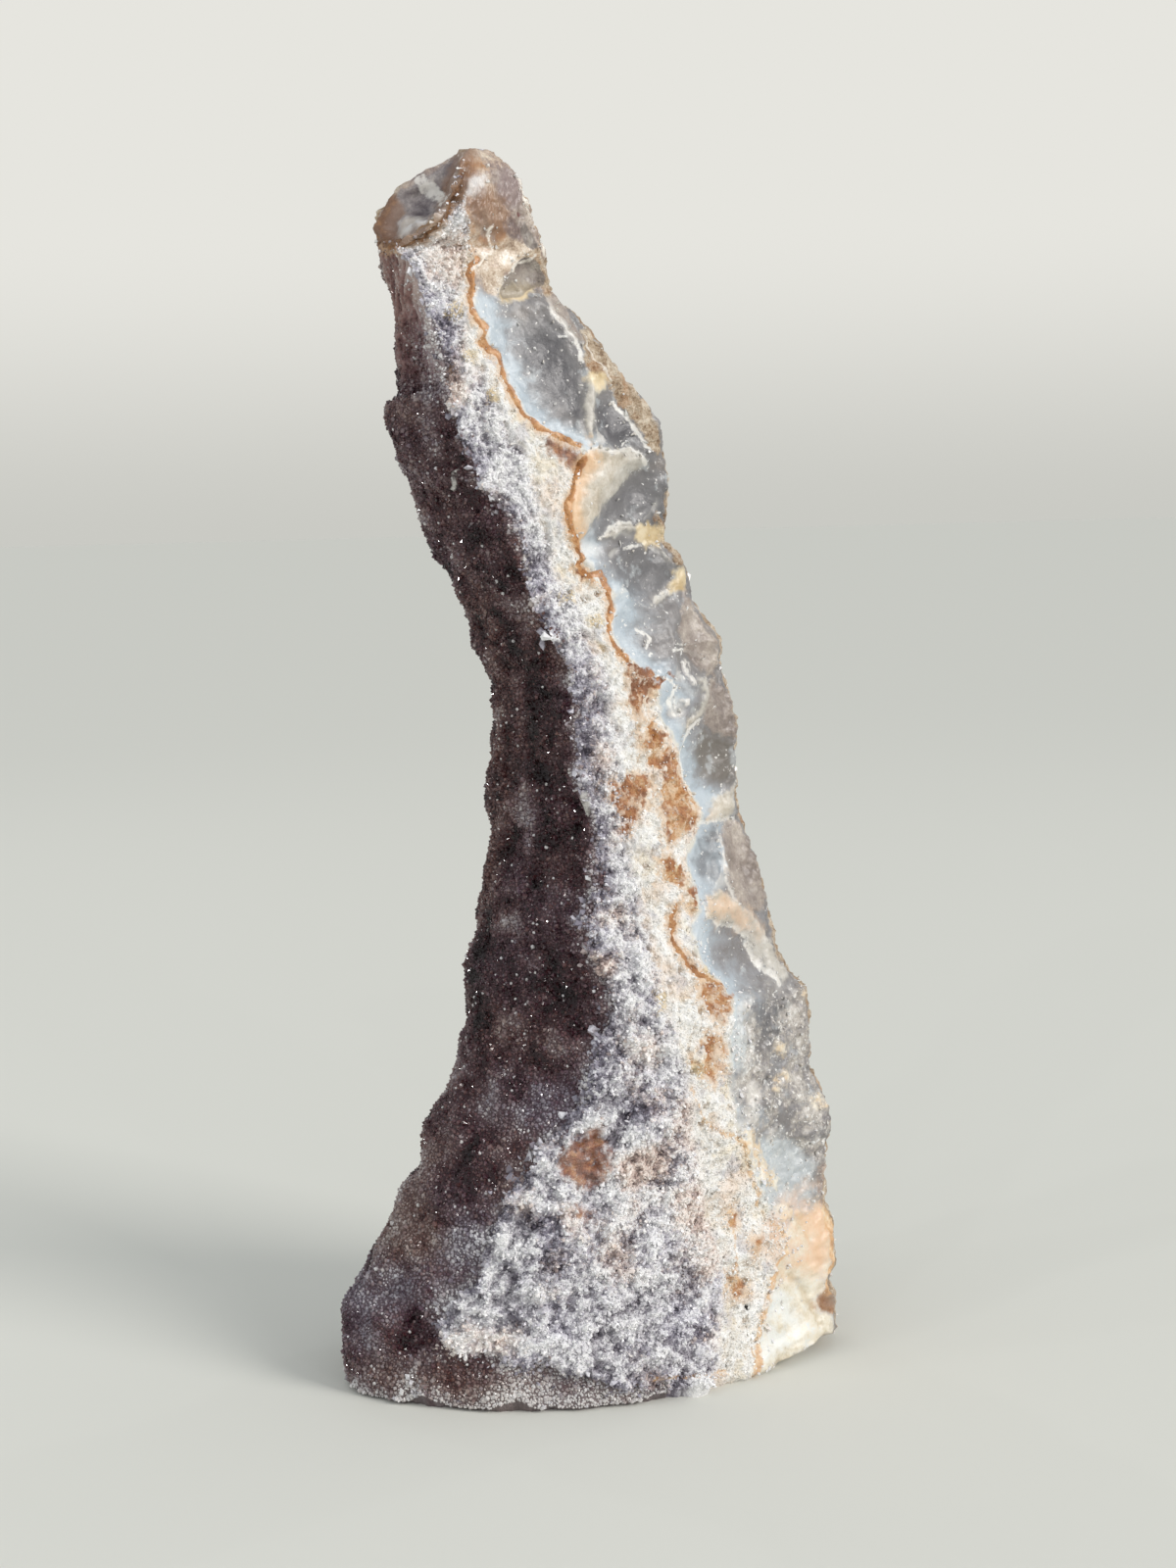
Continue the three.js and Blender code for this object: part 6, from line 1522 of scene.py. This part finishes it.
path = w.nodes.new("ShaderNodeLightPath")
both = w.nodes.new("ShaderNodeMixShader")
w.links.new(path.outputs["Is Camera Ray"], both.inputs["Fac"])
w.links.new(lit.outputs[0], both.inputs[1])
w.links.new(seen.outputs[0], both.inputs[2])
w.links.new(both.outputs[0], out.inputs["Surface"])


def aim(obj, at, target):
    direction = np.array(target, float) - np.array(at, float)
    z = -direction / np.linalg.norm(direction)
    x = np.cross((0, 0, 1), z)
    x /= np.linalg.norm(x)
    y = np.cross(z, x)
    obj.matrix_world = Matrix(np.block([[np.stack([x, y, z], 1), np.array(at, float)[:, None]], [np.zeros((1, 3)), np.ones((1, 1))]]).tolist())


def light(name, kind, at, strength, colour, **settings):
    data = bpy.data.lights.new(name, kind)
    data.energy = strength
    data.color = colour
    for key, value in settings.items():
        setattr(data, key, value)
    obj = bpy.data.objects.new(name, data)
    bpy.context.scene.collection.objects.link(obj)
    aim(obj, at, (0, 0, 0.15))
    return obj


light("key", "SUN", (1.05, -0.62, 0.80), 1.95, (1.0, 0.965, 0.93), angle=math.radians(24))
# small lamps all round, for the glints on the crystal faces
SPARKLES = [(-0.55, -1.00, 0.80), (-1.05, -0.35, 0.55), (0.10, -1.10, 1.00), (0.55, -1.05, 0.45), (-0.25, -1.20, 0.30),
            (-0.90, -0.80, 0.30), (-0.75, -0.45, 1.05), (0.85, -0.75, 1.00), (-0.55, 1.00, 0.90), (0.90, 0.75, 0.80)]
for k_, at in enumerate(SPARKLES):
    light("sparkle_%d" % k_, "AREA", at, 0.5, (1.0, 1.0, 1.0), shape="DISK", size=0.03)

camera_data = bpy.data.cameras.new("camera")
camera_data.sensor_width = 36
camera_data.sensor_fit = "AUTO"
camera_data.lens = 54
camera_data.clip_start = 0.01
camera = bpy.data.objects.new("camera", camera_data)
bpy.context.scene.collection.objects.link(camera)
right = np.array([0.99967979, -0.00286456, -0.02514191])
down = np.array([-0.02530457, -0.11316696, -0.9932537])
forward = np.array([0.0, 0.99357186, -0.11320321])
turn = np.stack([right, -down, -forward], 1)
place = np.array([[0.001768], [-0.581054], [0.2117]])
camera.matrix_world = Matrix(np.block([[turn, place], [np.zeros((1, 3)), np.ones((1, 1))]]).tolist())
bpy.context.scene.camera = camera
bpy.context.scene.view_settings.view_transform = "Standard"
